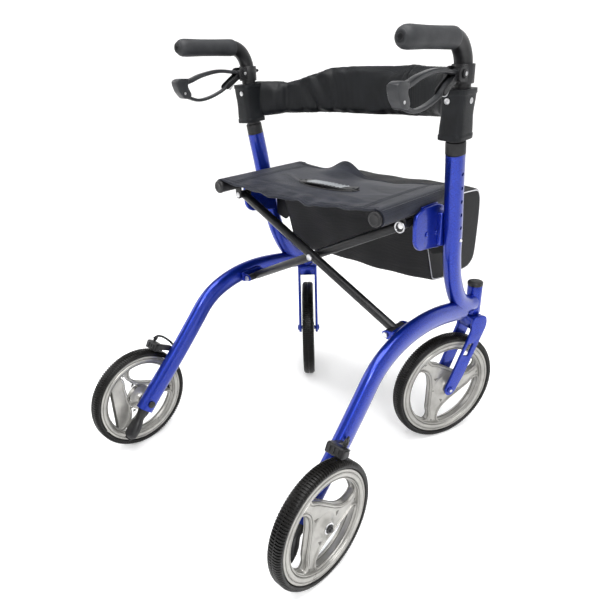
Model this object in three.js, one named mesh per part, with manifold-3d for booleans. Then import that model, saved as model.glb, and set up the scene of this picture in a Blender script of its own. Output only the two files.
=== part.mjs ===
// Folding rollator walker: two side frames joined by a cross brace, with a
// sling seat, a backrest band, a bag, two braked rear wheels and two casters.
//
// Millimetres, +Z up. +Y is the way the walker is pushed, +X is the user's
// right. The pieces are placed in a frame whose Y is zero at the rear axles,
// and the whole group is then moved so that Y is zero at its middle.
//
// One right-hand copy of each paired piece is made and mirrored for the left.

import * as THREE from 'three';
import { mergeVertices } from 'three/addons/utils/BufferGeometryUtils.js';
import Module from 'manifold-3d';

const wasm = await Module();
wasm.setup();

// ---------------------------------------------------------------- sizes

const REAR_RADIUS = 114;
const FRONT_RADIUS = 127;
const TYRE_HALF_WIDTH = 14.5;
const REAR_WHEEL_X = 281;
const BAG_FRONT_Y = 634;
const MIDDLE_Y = (BAG_FRONT_Y - REAR_RADIUS) / 2;

const CASTER_X = 248;
const CASTER_Y = 538;
const CASTER_TRAIL = 64;
const CASTER_YAW = { right: -0.393, left: 0.746 };
const CROWN_TOP = 295;
const HOUSING_TOP = 360;
const STEM_RADIUS = 6;

const GAP = 0.3;
const ROUND_SIDES = 12;
const FOLD_HALF_SPAN = 210;
const LOWER_PIVOT_Z = 335;
const UPPER_PIVOT_Z = 540;
const ARM_A_Y = 296;
const ARM_B_Y = 318;
const ARM_RADIUS = 9.5;
const PIN_RADIUS = 4;

const RAIL_X = 208;
const RAIL_Z = 568;
const RAIL_RADIUS = 12.7;
const RAIL_REAR_Y = 230;
const RAIL_FRONT_Y = 490;

const HOLE_PITCH = 26;
const HOLE_COUNT = 6;
const INNER_TUBE_RADIUS = 12.5;
const OUTER_TUBE_RADIUS = 15;
const GRIP_RADIUS = 17;
const LEVER_PIVOT = { x: 266, y: 357, z: 790 };

// The straight line that the handle tube slides along inside the upright.
const SLIDE_TOP = new THREE.Vector3(259.5, 387, 659);
const SLIDE_DIRECTION = new THREE.Vector3(0.03, -0.165, 0.986).normalize();

// Centre lines as [x, y, z], from the outside of each tube's lower end up.
const UPRIGHT_LINE = [
  [259.5, 387, 659], [257.4, 395, 612], [255.6, 403, 560], [253.9, 411, 512],
  [251, 421, 455], [248.5, 438, 402], [247, 466, 354], [247.5, 500, 328], [248, 531, 322],
];
const LEG_LINE = [
  [245, -12, 101], [245, 26, 139], [245, 65, 176], [245, 105, 215], [245, 150, 262],
  [245, 185, 298], [245, 225, 322], [245, 280, 337], [245, 340, 341], [245, 400, 336],
  [246, 450, 327], [247, 494, 318],
];

const HANDLE_LINE = [
  [261.5, 381.5, 700], [263.5, 380, 740], [265, 380, 785], [265.6, 376, 812], [265.6, 364, 831],
  [265.6, 348, 840.5], [265.6, 330, 843],
];
const GRIP_TILT = 0.017;

// ---------------------------------------------------------------- geometry helpers

function bare(geometry) {
  const positions = new THREE.BufferGeometry();
  positions.setAttribute('position', geometry.getAttribute('position').clone());
  if (geometry.index) positions.setIndex(geometry.index.clone());
  const welded = mergeVertices(positions, 1e-3);
  const kept = [];
  const index = welded.index.array;
  for (let i = 0; i < index.length; i += 3) {
    const [a, b, c] = [index[i], index[i + 1], index[i + 2]];
    if (a !== b && b !== c && c !== a) kept.push(a, b, c);
  }
  welded.setIndex(kept);
  return welded;
}

function signedVolume(geometry) {
  const index = geometry.index.array;
  const at = (i) => new THREE.Vector3().fromBufferAttribute(geometry.attributes.position, index[i]);
  let volume = 0;
  for (let i = 0; i < index.length; i += 3) {
    volume += at(i).dot(at(i + 1).cross(at(i + 2))) / 6;
  }
  return volume;
}

function flipped(geometry) {
  const index = Array.from(geometry.index.array);
  for (let i = 0; i < index.length; i += 3) {
    [index[i + 1], index[i + 2]] = [index[i + 2], index[i + 1]];
  }
  geometry.setIndex(index);
  return geometry;
}

function closed(geometry) {
  const welded = bare(geometry);
  return signedVolume(welded) < 0 ? flipped(welded) : welded;
}

function toManifold(geometry) {
  const welded = closed(geometry);
  return new wasm.Manifold(new wasm.Mesh({
    numProp: 3,
    vertProperties: new Float32Array(welded.attributes.position.array),
    triVerts: new Uint32Array(welded.index.array),
  }));
}

function fromManifold(solid) {
  const mesh = solid.getMesh();
  const geometry = new THREE.BufferGeometry();
  geometry.setAttribute('position', new THREE.BufferAttribute(new Float32Array(mesh.vertProperties), 3));
  geometry.setIndex(Array.from(mesh.triVerts));
  return geometry;
}

function join(...geometries) {
  return fromManifold(geometries.map(toManifold).reduce((a, b) => a.add(b)));
}

function cut(geometry, ...tools) {
  return fromManifold(tools.map(toManifold).reduce((a, b) => a.subtract(b), toManifold(geometry)));
}

function mirrored(geometry) {
  return flipped(bare(geometry.clone().scale(-1, 1, 1)));
}

function polygon(points) {
  return new THREE.Shape(points.map(([x, y]) => new THREE.Vector2(x, y)));
}

function ellipse(halfX, halfY, sides) {
  const points = [];
  for (let i = 0; i < sides; i += 1) {
    const angle = (i * 2 * Math.PI) / sides;
    points.push([halfX * Math.cos(angle), halfY * Math.sin(angle)]);
  }
  return polygon(points);
}

// A tube with an oval section along a smooth line, halfX across the line's plane.
function sweep(line, halfX, halfY, steps, sides = ROUND_SIDES) {
  const path = new THREE.CatmullRomCurve3(line.map((p) => new THREE.Vector3(...p)));
  return new THREE.ExtrudeGeometry(ellipse(halfX, halfY, sides), {
    steps, bevelEnabled: false, extrudePath: path,
  });
}

function rod(start, end, radius, sides = ROUND_SIDES) {
  const a = new THREE.Vector3(...start);
  const b = new THREE.Vector3(...end);
  const along = b.clone().sub(a);
  const turn = new THREE.Quaternion().setFromUnitVectors(
    new THREE.Vector3(0, 1, 0), along.clone().normalize());
  const geometry = new THREE.CylinderGeometry(radius, radius, along.length(), sides);
  geometry.applyQuaternion(turn);
  geometry.translate(...a.add(b).multiplyScalar(0.5).toArray());
  return geometry;
}

function box(size, centre, tiltX = 0) {
  const geometry = new THREE.BoxGeometry(...size);
  geometry.rotateX(tiltX);
  geometry.translate(...centre);
  return geometry;
}

// A plate drawn in the Y-Z plane and given a thickness along X.
function sidePlate(shape, x0, x1) {
  const geometry = new THREE.ExtrudeGeometry(shape, { depth: x1 - x0, bevelEnabled: false, curveSegments: 6 });
  geometry.rotateY(Math.PI / 2);
  geometry.rotateX(Math.PI / 2);
  geometry.translate(x0, 0, 0);
  return geometry;
}

// A plate drawn in the X-Z plane and given a thickness along Y.
function crossPlate(shape, y0, y1) {
  const geometry = new THREE.ExtrudeGeometry(shape, { depth: y1 - y0, bevelEnabled: false, curveSegments: 6 });
  geometry.rotateX(Math.PI / 2);
  geometry.translate(0, y1, 0);
  return geometry;
}

// A body of revolution about X, from a profile of [x, radius] points.
// One of its flat facets faces straight down.
function turnedOnX(profile, sides) {
  const reach = 1 / Math.cos(Math.PI / sides);
  const points = profile.map(([x, radius]) => new THREE.Vector2(radius * reach, x));
  const geometry = new THREE.LatheGeometry(points, sides, Math.PI / sides);
  geometry.rotateZ(-Math.PI / 2);
  return geometry;
}

function along(point, direction, distance) {
  return point.clone().addScaledVector(direction, distance).toArray();
}

// ---------------------------------------------------------------- wheels, about X at the origin

const AXLE_RADIUS = 5;
const BORE_RADIUS = (AXLE_RADIUS + 0.15) / Math.cos(Math.PI / ROUND_SIDES);
const HUB_HALF = 16;
const WINDOW_COUNT = 3;
const RIM_SIDES = 36;

// How far each rim is turned when the walker stands at rest.
const REAR_TURN = { right: 0.56, left: 1.68 };
const FRONT_TURN = 0.72;

function rimWindow(radius, turn) {
  const outer = 0.79 * radius;
  const shape = [];
  for (let degrees = -40; degrees <= 40; degrees += 16) {
    shape.push([outer, degrees]);
  }
  shape.push([0.68 * radius, 47], [0.5 * radius, 42], [0.4 * radius, 24]);
  shape.push([0.385 * radius, 0], [0.4 * radius, -20], [0.52 * radius, -46], [0.68 * radius, -48]);
  return new THREE.Path(shape.map(([r, degrees]) => {
    const angle = turn + (degrees * Math.PI) / 180;
    return new THREE.Vector2(r * Math.cos(angle), r * Math.sin(angle));
  }));
}

function rim(radius, turn) {
  const disc = ellipse(radius, radius, RIM_SIDES);
  for (let i = 0; i < WINDOW_COUNT; i += 1) {
    disc.holes.push(rimWindow(radius, (i * 2 * Math.PI) / WINDOW_COUNT + turn));
  }
  const web = new THREE.ExtrudeGeometry(disc, { depth: 24, bevelEnabled: false });
  web.translate(0, 0, -12);
  web.rotateY(Math.PI / 2);
  const hub = rod([-HUB_HALF, 0, 0], [HUB_HALF, 0, 0], 0.2 * radius);
  const bore = rod([-30, 0, 0], [30, 0, 0], BORE_RADIUS);
  return cut(join(web, hub), bore);
}

function tyre(radius, rimRadius) {
  const inner = rimRadius + GAP;
  const shoulder = radius - 5;
  const w = TYRE_HALF_WIDTH;
  return turnedOnX([
    [-w, inner], [w, inner], [w, shoulder], [9, radius], [-9, radius], [-w, shoulder], [-w, inner],
  ], RIM_SIDES);
}

function axle(halfLength, headRadius, shaftRadius) {
  return join(
    rod([-halfLength, 0, 0], [halfLength, 0, 0], shaftRadius),
    rod([-halfLength, 0, 0], [-halfLength + 4, 0, 0], headRadius, 6),
    rod([halfLength - 4, 0, 0], [halfLength, 0, 0], headRadius),
  );
}

const rimRadiusOf = (radius) => Math.round(radius * 0.895);

// ---------------------------------------------------------------- side frame

function upright() {
  const tube = sweep(UPRIGHT_LINE, 16, 19, 16);
  const housing = rod([CASTER_X, CASTER_Y, CROWN_TOP + 2], [CASTER_X, CASTER_Y, HOUSING_TOP], 16, 20);
  const bore = rod(
    along(SLIDE_TOP, SLIDE_DIRECTION, 20), along(SLIDE_TOP, SLIDE_DIRECTION, -186),
    INNER_TUBE_RADIUS + 0.5, 20);
  const stemBore = rod(
    [CASTER_X, CASTER_Y, CROWN_TOP - 5], [CASTER_X, CASTER_Y, HOUSING_TOP + 5], STEM_RADIUS + 0.6);
  const holes = [];
  for (let i = 0; i < HOLE_COUNT; i += 1) {
    const [x, y, z] = holePlace(i);
    holes.push(rod([x, y, z], [x + 30, y, z], 3.5, 10));
  }
  return cut(join(tube, housing), bore, stemBore, ...holes);
}

// Height hole i, counted from the lowest, as a point on the slide line.
function holePlace(i) {
  return along(SLIDE_TOP, SLIDE_DIRECTION, -166 + i * HOLE_PITCH);
}

function rearLeg() {
  const tube = sweep(LEG_LINE, 14, 21, 14);
  const uprightGrown = sweep(UPRIGHT_LINE, 16 + GAP, 19 + GAP, 16);
  const housingGrown = rod([CASTER_X, CASTER_Y, 200], [CASTER_X, CASTER_Y, 400], 16 + GAP, 20);
  const axleHole = rod([200, 0, REAR_RADIUS], [300, 0, REAR_RADIUS], BORE_RADIUS);
  return cut(tube, uprightGrown, housingGrown, axleHole);
}

function tiltPedal() {
  const neck = sweep([[245, -14, 99], [245, -28, 84], [245, -42, 68]], 11, 9, 4);
  const tread = sweep([[245, -36, 76], [245, -50, 60], [245, -62, 47]], 17, 8, 4);
  const legEnd = sweep(LEG_LINE, 14 + GAP, 21 + GAP, 14);
  return cut(join(neck, tread), legEnd);
}

function stemCap() {
  return rod([CASTER_X, CASTER_Y, HOUSING_TOP + GAP], [CASTER_X, CASTER_Y, HOUSING_TOP + 9], 16.5, 20);
}

function collar() {
  const outside = rod(along(SLIDE_TOP, SLIDE_DIRECTION, 3.5), along(SLIDE_TOP, SLIDE_DIRECTION, 16), 17, 16);
  const inside = rod(
    along(SLIDE_TOP, SLIDE_DIRECTION, -5), along(SLIDE_TOP, SLIDE_DIRECTION, 30),
    INNER_TUBE_RADIUS + 0.5, 20);
  return cut(outside, inside);
}

function saddle() {
  const cradle = [];
  for (let i = 0; i <= 10; i += 1) {
    const angle = Math.PI + (i * Math.PI) / 10;
    cradle.push([RAIL_X + 21 * Math.cos(angle), RAIL_Z + 21 * Math.sin(angle)]);
  }
  for (let i = 10; i >= 0; i -= 1) {
    const angle = Math.PI + (i * Math.PI) / 10;
    cradle.push([RAIL_X + 17.5 * Math.cos(angle), RAIL_Z + 17.5 * Math.sin(angle)]);
  }
  const trough = crossPlate(polygon(cradle), 340, 392);
  const plate = sidePlate(polygon([
    [314, 540], [318, 502], [330, 489], [372, 484], [412, 477], [414, 560], [392, 567], [340, 567], [316, 552],
  ]), 226.5, 232.5);
  const uprightGrown = sweep(UPRIGHT_LINE, 16 + GAP, 19 + GAP, 16);
  const foot = box([14, 26, 62], [236, 401, 518]);
  return cut(join(trough, plate, foot), uprightGrown);
}

function lowerBracket(pivotY) {
  const base = box([6, 62, 24], [226, pivotY, LOWER_PIVOT_Z]);
  const ears = [-1, 1].map((end) => join(
    box([20, 4, 18], [218, pivotY + end * 27, LOWER_PIVOT_Z]),
    rod([FOLD_HALF_SPAN, pivotY + end * 25, LOWER_PIVOT_Z], [FOLD_HALF_SPAN, pivotY + end * 29, LOWER_PIVOT_Z], 9),
  ));
  const pinHole = rod(
    [FOLD_HALF_SPAN, pivotY - 40, LOWER_PIVOT_Z], [FOLD_HALF_SPAN, pivotY + 40, LOWER_PIVOT_Z],
    PIN_RADIUS + 0.3);
  const legGrown = sweep(LEG_LINE, 14 + GAP, 21 + GAP, 14);
  return cut(join(base, ...ears), pinHole, legGrown);
}

// ---------------------------------------------------------------- rear brake

const BRAKE = { x: 275, y: 50, z: 226, tilt: 0.48 };

// A box whose centre is forward along, and up from, the tilted brake's middle.
function brakeBox(size, x, forward, up) {
  const c = Math.cos(BRAKE.tilt);
  const s = Math.sin(BRAKE.tilt);
  return box(size, [x, BRAKE.y + forward * c + up * s, BRAKE.z - forward * s + up * c], -BRAKE.tilt);
}

function brakeCap(extra) {
  const size = [37, 17, 19].map((length) => length + 2 * extra);
  return brakeBox(size, 272.5, 0, 2.5);
}

function brakeHousing() {
  const mount = brakeBox([12, 34, 12], 258, 17, 5);
  const cavity = brakeBox([26, 18, 15], 273.5, 4.5, -1);
  const legGrown = sweep(LEG_LINE, 14 + GAP, 21 + GAP, 14);
  const wheelRoom = rod([240, 0, REAR_RADIUS], [320, 0, REAR_RADIUS], REAR_RADIUS + 3, 48);
  return cut(join(brakeCap(0), mount), cavity, legGrown, wheelRoom);
}

function brakeArm() {
  return brakeBox([15, 30, 4], BRAKE.x, 11.5, 3.5);
}

function brakeShoe() {
  const block = brakeBox([19, 24, 10.2], BRAKE.x, 9.5, -3.9);
  const wheelRoom = rod([240, 0, REAR_RADIUS], [320, 0, REAR_RADIUS], REAR_RADIUS + 3, 48);
  return cut(block, wheelRoom);
}

function brakeCable() {
  const loop = sweep([
    [281, 57, 232], [281, 65.5, 243], [276, 76, 241], [266, 88, 228], [256, 95, 211],
  ], 2.6, 2.6, 10, 6);
  const legGrown = sweep(LEG_LINE, 14 + GAP, 21 + GAP, 14);
  return cut(loop, legGrown, brakeCap(GAP));
}

// ---------------------------------------------------------------- caster, about its stem at the origin

function fork() {
  const side = polygon([
    [-18, 262], [-18, 288], [-12, 295], [14, 295], [19, 288], [19, 268], [13, 256],
    [-48, 121], [-54, 114.5], [-64, 112.5], [-73, 117], [-77, 126], [-76, 134],
  ]);
  side.holes.push(new THREE.Path([
    [-20, 240], [-33, 216], [-21, 212], [-6, 242],
  ].map(([y, z]) => new THREE.Vector2(y, z))));
  const arms = [sidePlate(side, 19, 26), sidePlate(side, -26, -19)];
  const crown = box([40, 34, 30], [0, 0, 279]);
  const stem = rod([0, 0, 270], [0, 0, HOUSING_TOP - 4], STEM_RADIUS);
  const washer = rod([0, 0, 290], [0, 0, 296.4], 11, 20);
  const axleHole = rod([-40, -CASTER_TRAIL, FRONT_RADIUS], [40, -CASTER_TRAIL, FRONT_RADIUS], BORE_RADIUS);
  const wheelRoom = rod(
    [-17.5, -CASTER_TRAIL, FRONT_RADIUS], [17.5, -CASTER_TRAIL, FRONT_RADIUS], FRONT_RADIUS + 5, 48);
  return cut(join(...arms, crown, stem, washer), axleHole, wheelRoom);
}

// ---------------------------------------------------------------- handle

// The wide part of the handle tube, from the collar to the grip, made larger by extra.
function handleSweep(extra) {
  const radius = OUTER_TUBE_RADIUS + extra;
  return sweep([along(SLIDE_TOP, SLIDE_DIRECTION, 17), ...HANDLE_LINE], radius, radius, 14, 14);
}

function handleTube() {
  const insideTube = rod(
    along(SLIDE_TOP, SLIDE_DIRECTION, -176), along(SLIDE_TOP, SLIDE_DIRECTION, 24), INNER_TUBE_RADIUS);
  const outside = handleSweep(0);
  const gripCore = rod([265.6, 334, 842.6], [265.6, 215, 844.6], 11);
  const [x, y, z] = holePlace(0);
  const hole = rod([x + 4, y, z], [x + 30, y, z], 3.4);
  return cut(join(insideTube, outside, gripCore), hole);
}

function heightButton() {
  const [x, y, z] = holePlace(0);
  return rod([x + 4.4, y, z], [x + 17.5, y, z], 3);
}

function grip() {
  const profile = [
    [0, 0], [3.5, 10], [9, 15], [17, GRIP_RADIUS], [140, GRIP_RADIUS - 0.5], [144, 16], [144, 11.4], [17, 11.4],
    [17, 0],
  ].map(([length, radius]) => new THREE.Vector2(radius, length));
  const geometry = new THREE.LatheGeometry(profile, 20);
  geometry.rotateX(-GRIP_TILT);
  geometry.translate(265.6, 197.5, 844.9);
  return cut(geometry, handleSweep(GAP));
}

function handleHousing() {
  const { x, y, z } = LEVER_PIVOT;
  const band = rod([x - 1, 380, z - 16], [x - 0.6, 380, z + 14], 19, 16);
  const cheeks = [-1, 1].map((end) => box([5, 30, 26], [x + end * 12, y + 3, z - 1]));
  const slot = box([19, 36, 60], [x, y - 8, z]);
  const pinHole = rod([x - 40, y, z], [x + 40, y, z], 4.2);
  return cut(join(band, ...cheeks), handleSweep(GAP), slot, pinHole);
}

// The pin of the lever with a head at each end and a pair of link plates between the cheeks.
function leverCam() {
  const { x, y, z } = LEVER_PIVOT;
  const link = polygon([
    [y + 4, z + 5], [y - 4, z + 6], [y - 46, z - 20], [y - 50, z - 26], [y - 45, z - 31], [y - 2, z - 6.5],
    [y + 4, z - 5],
  ]);
  return join(
    rod([x - 17, y, z], [x + 17, y, z], 4),
    rod([x - 18, y, z], [x - 15, y, z], 7),
    rod([x + 15, y, z], [x + 18, y, z], 7),
    sidePlate(link, x - 9.2, x - 6.9),
    sidePlate(link, x + 6.9, x + 9.2),
  );
}

function brakeLever() {
  const { x, y, z } = LEVER_PIVOT;
  const line = [
    [y, z + 1], [y - 24, z + 4], [y - 52, z + 7], [y - 77, z + 6], [y - 111, z], [y - 137, z - 9],
    [y - 158, z - 18], [y - 163, z - 28], [y - 152, z - 38], [y - 136, z - 44], [y - 117, z - 47], [y - 87, z - 43],
    [y - 52, z - 31], [y - 30, z - 16], [y - 12, z - 6], [y, z - 1],
  ].map(([pointY, pointZ]) => [x, pointY, pointZ]);
  const loop = sweep(line, 6.5, 4.5, 20, 8);
  const hub = rod([x - 6.5, y, z], [x + 6.5, y, z], 7.4);
  const pad = sidePlate(polygon([
    [y - 144, z - 4], [y - 172, z - 3], [y - 176, z - 10], [y - 172, z - 26], [y - 158, z - 41], [y - 145, z - 42],
    [y - 142, z - 32], [y - 150, z - 18],
  ]), x - 9.5, x + 9.5);
  const camHole = rod([x - 30, y, z], [x + 30, y, z], 4.25);
  return cut(join(loop, hub, pad), camHole);
}

// ---------------------------------------------------------------- cross brace and seat rails

function braceArm(armY, lowerSide) {
  const lower = [lowerSide * FOLD_HALF_SPAN, armY, LOWER_PIVOT_Z];
  const upper = [-lowerSide * FOLD_HALF_SPAN, armY, UPPER_PIVOT_Z];
  const centre = [0, armY, (LOWER_PIVOT_Z + UPPER_PIVOT_Z) / 2];
  const at = ([px, , pz], y) => [px, armY + y, pz];
  const tube = rod(lower, upper, ARM_RADIUS, 14);
  const sleeve = rod(at(lower, -24.5), at(lower, 24.5), 8);
  const top = rod(at(upper, -11), at(upper, 11), 8);
  const topPin = rod(at(upper, -17), at(upper, 17), PIN_RADIUS);
  const lowerPin = join(
    rod(at(lower, -32), at(lower, 32), PIN_RADIUS),
    rod(at(lower, -33), at(lower, -29.4), 6.5, 6),
    rod(at(lower, 29.4), at(lower, 33), 6.5),
  );
  const centreHole = rod(at(centre, -20), at(centre, 20), PIN_RADIUS + 0.3);
  const room = armY === ARM_A_Y ? 20 : -20;
  const otherSleeveRoom = rod(at(centre, room), at(centre, room * 0.475), 14);
  return cut(join(tube, sleeve, top, topPin, lowerPin), centreHole, otherSleeveRoom);
}

function bracePin() {
  const z = (LOWER_PIVOT_Z + UPPER_PIVOT_Z) / 2;
  return join(
    rod([0, ARM_A_Y - 14, z], [0, ARM_B_Y + 14, z], PIN_RADIUS),
    rod([0, ARM_A_Y - 14, z], [0, ARM_A_Y - 10, z], 7, 6),
    rod([0, ARM_B_Y + 10, z], [0, ARM_B_Y + 14, z], 7),
  );
}

function seatRail(armY) {
  const tube = rod([RAIL_X, RAIL_REAR_Y, RAIL_Z], [RAIL_X, RAIL_FRONT_Y, RAIL_Z], RAIL_RADIUS, 20);
  const ears = [-1, 1].map((end) => join(
    box([18, 4, 20], [RAIL_X + 1, armY + end * 14, UPPER_PIVOT_Z + 10]),
    rod([FOLD_HALF_SPAN, armY + end * 12, UPPER_PIVOT_Z], [FOLD_HALF_SPAN, armY + end * 16, UPPER_PIVOT_Z], 9),
  ));
  const pinHole = rod(
    [FOLD_HALF_SPAN, armY - 40, UPPER_PIVOT_Z], [FOLD_HALF_SPAN, armY + 40, UPPER_PIVOT_Z],
    PIN_RADIUS + 0.3);
  return cut(join(tube, ...ears), pinHole);
}

function railCap() {
  return rod([RAIL_X, RAIL_REAR_Y - 6, RAIL_Z], [RAIL_X, RAIL_REAR_Y - GAP, RAIL_Z], 13.5, 20);
}

// ---------------------------------------------------------------- soft pieces

// The sling: a thin sheet across the rails whose edges turn down over them.
function seatSling() {
  const section = [];
  const outside = RAIL_RADIUS + 3.9;
  const inside = RAIL_RADIUS + GAP;
  for (let degrees = -10; degrees <= 90; degrees += 20) {
    const angle = (degrees * Math.PI) / 180;
    section.push([RAIL_X + outside * Math.cos(angle), RAIL_Z + outside * Math.sin(angle)]);
  }
  const right = section.slice();
  const under = [];
  for (let degrees = 90; degrees >= -10; degrees -= 20) {
    const angle = (degrees * Math.PI) / 180;
    under.push([RAIL_X + inside * Math.cos(angle), RAIL_Z + inside * Math.sin(angle)]);
  }
  const flip = (points) => points.map(([x, z]) => [-x, z]).reverse();
  const outline = [...right, [0, RAIL_Z + outside - 3], ...flip(right), ...flip(under), [0, RAIL_Z + inside - 3],
    ...under];
  return crossPlate(polygon(outline), 234, 480);
}

function liftHandle() {
  return cut(
    box([160, 26, 4], [10, 338, RAIL_Z + 17.4]),
    box([132, 10, 20], [10, 338, RAIL_Z + 17.4]),
  );
}

function backrest() {
  const bandShape = polygon([[-46, -8], [0, -10], [46, -8], [46, 8], [0, 10], [-46, 8]]);
  const line = [
    [257, 391, 738], [246, 402, 738], [222, 424, 739], [180, 458, 742], [110, 492, 748], [0, 508, 750],
  ];
  const halves = [...line, ...line.slice(0, -1).reverse().map(([x, y, z]) => [-x, y, z])];
  const band = new THREE.ExtrudeGeometry(bandShape, {
    steps: 12,
    bevelEnabled: false,
    extrudePath: new THREE.CatmullRomCurve3(halves.map((p) => new THREE.Vector3(...p))),
  });
  const sleeves = [-1, 1].map((end) => rod([end * 261, 377, 685], [end * 263.4, 375.5, 768], 24, 14));
  const room = rod([260, 382.5, 664], [265.4, 379.3, 792], OUTER_TUBE_RADIUS + 2, 14);
  const housingRoom = rod([264.6, 380, 773], [265.6, 380, 812], 21, 16);
  return cut(join(band, ...sleeves), room, mirrored(room), housingRoom, mirrored(housingRoom));
}

function bag() {
  const outline = [
    [424, 552], [424, 392], [434, 380], [590, 366], [616, 374], [BAG_FRONT_Y, 400], [BAG_FRONT_Y, 520],
    [622, 546], [606, 552],
  ];
  return sidePlate(polygon(outline), -196, 196);
}

// ---------------------------------------------------------------- scene

const walker = new THREE.Group();
walker.name = 'rollator';
walker.position.y = -MIDDLE_Y;

const LOOKS = {
  blue: { color: 0x2233c8, roughness: 0.3, metalness: 0.6 },
  black: { color: 0x15161a, roughness: 0.55, metalness: 0.0 },
  blackTube: { color: 0x17181b, roughness: 0.45, metalness: 0.3 },
  silver: { color: 0xc3c1b8, roughness: 0.4, metalness: 0.3 },
  steel: { color: 0xa9abb0, roughness: 0.3, metalness: 0.9 },
  tyre: { color: 0x1b1a19, roughness: 0.85, metalness: 0.0 },
  rubber: { color: 0x2a2b2d, roughness: 0.75, metalness: 0.0 },
  cloth: { color: 0x24262d, roughness: 0.9, metalness: 0.0 },
};

function add(parent, name, geometry, look) {
  const mesh = new THREE.Mesh(closed(geometry), new THREE.MeshStandardMaterial(LOOKS[look]));
  mesh.name = name;
  mesh.geometry.computeVertexNormals();
  parent.add(mesh);
  return mesh;
}

function place(group, x, y, z, yaw = 0) {
  group.position.set(x, y, z);
  group.rotation.z = yaw;
  walker.add(group);
  return group;
}

const pairedPieces = [
  ['upright', upright(), 'blue'],
  ['leg', rearLeg(), 'blue'],
  ['tilt_pedal', tiltPedal(), 'black'],
  ['stem_cap', stemCap(), 'black'],
  ['collar', collar(), 'black'],
  ['saddle', saddle(), 'blue'],
  ['brake_housing', brakeHousing(), 'black'],
  ['brake_arm', brakeArm(), 'steel'],
  ['brake_shoe', brakeShoe(), 'rubber'],
  ['brake_cable', brakeCable(), 'black'],
  ['handle_tube', handleTube(), 'blackTube'],
  ['height_button', heightButton(), 'steel'],
  ['grip', grip(), 'rubber'],
  ['handle_housing', handleHousing(), 'black'],
  ['lever_cam', leverCam(), 'steel'],
  ['brake_lever', brakeLever(), 'black'],
  ['rail_cap', railCap(), 'black'],
];

const rearTyre = tyre(REAR_RADIUS, rimRadiusOf(REAR_RADIUS));
const frontRim = rim(rimRadiusOf(FRONT_RADIUS), FRONT_TURN);
const frontTyre = tyre(FRONT_RADIUS, rimRadiusOf(FRONT_RADIUS));
const rearAxle = axle(37.5, 8, AXLE_RADIUS);
const frontAxle = axle(30.3, 8, AXLE_RADIUS);
const casterFork = fork();

for (const [side, sign, armY] of [['right', 1, ARM_A_Y], ['left', -1, ARM_B_Y]]) {
  const onSide = (geometry) => (sign > 0 ? geometry.clone() : mirrored(geometry));
  const railArmY = side === 'right' ? ARM_B_Y : ARM_A_Y;

  for (const [name, geometry, look] of pairedPieces) {
    add(walker, `${name}_${side}`, onSide(geometry), look);
  }
  add(walker, `lower_bracket_${side}`, onSide(lowerBracket(armY)), 'blue');
  add(walker, `seat_rail_${side}`, onSide(seatRail(railArmY)), 'blackTube');

  const rearWheel = place(new THREE.Group(), sign * REAR_WHEEL_X, 0, REAR_RADIUS);
  add(rearWheel, `rear_rim_${side}`, rim(rimRadiusOf(REAR_RADIUS), REAR_TURN[side]), 'silver');
  add(rearWheel, `rear_tyre_${side}`, rearTyre.clone(), 'tyre');
  const bolt = add(rearWheel, `rear_axle_${side}`, onSide(rearAxle), 'steel');
  bolt.position.x = sign * -17;

  const caster = place(new THREE.Group(), sign * CASTER_X, CASTER_Y, 0, CASTER_YAW[side]);
  add(caster, `fork_${side}`, casterFork.clone(), 'blue');
  const frontWheel = new THREE.Group();
  frontWheel.position.set(0, -CASTER_TRAIL, FRONT_RADIUS);
  caster.add(frontWheel);
  add(frontWheel, `front_axle_${side}`, frontAxle.clone(), 'steel');
  add(frontWheel, `front_rim_${side}`, frontRim.clone(), 'silver');
  add(frontWheel, `front_tyre_${side}`, frontTyre.clone(), 'tyre');
}

add(walker, 'brace_arm_a', braceArm(ARM_A_Y, 1), 'blackTube');
add(walker, 'brace_arm_b', braceArm(ARM_B_Y, -1), 'blackTube');
add(walker, 'brace_pin', bracePin(), 'steel');
add(walker, 'seat_sling', seatSling(), 'cloth');
add(walker, 'lift_handle', liftHandle(), 'black');
add(walker, 'backrest', backrest(), 'cloth');
add(walker, 'bag', bag(), 'cloth');

export default walker;
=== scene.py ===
import random
from math import copysign, cos, exp, pi, radians, sin, sqrt

import bmesh
import bpy
import numpy as np
from mathutils import Matrix, Vector


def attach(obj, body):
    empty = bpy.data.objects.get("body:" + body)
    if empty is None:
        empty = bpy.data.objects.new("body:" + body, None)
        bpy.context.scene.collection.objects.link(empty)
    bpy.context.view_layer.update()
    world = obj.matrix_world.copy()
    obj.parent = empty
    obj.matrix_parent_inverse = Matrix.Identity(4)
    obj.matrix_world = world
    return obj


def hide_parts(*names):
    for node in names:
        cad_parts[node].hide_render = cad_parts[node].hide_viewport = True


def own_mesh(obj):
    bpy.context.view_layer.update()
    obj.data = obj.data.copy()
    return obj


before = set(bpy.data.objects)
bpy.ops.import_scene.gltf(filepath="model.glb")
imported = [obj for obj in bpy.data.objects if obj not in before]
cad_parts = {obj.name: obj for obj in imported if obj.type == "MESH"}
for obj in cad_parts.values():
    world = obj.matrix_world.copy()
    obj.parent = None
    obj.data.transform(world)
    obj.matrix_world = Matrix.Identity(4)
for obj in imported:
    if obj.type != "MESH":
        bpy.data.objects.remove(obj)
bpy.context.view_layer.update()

# Lengths below are written in millimetres, with Y zero at the rear axles; mm() turns
# them into the row frame's metres, where Y zero is MIDDLE_Y further forward.
MIDDLE_Y = 260


def mm(x, y, z):
    return Vector((x, y - MIDDLE_Y, z)) / 1000


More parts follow.
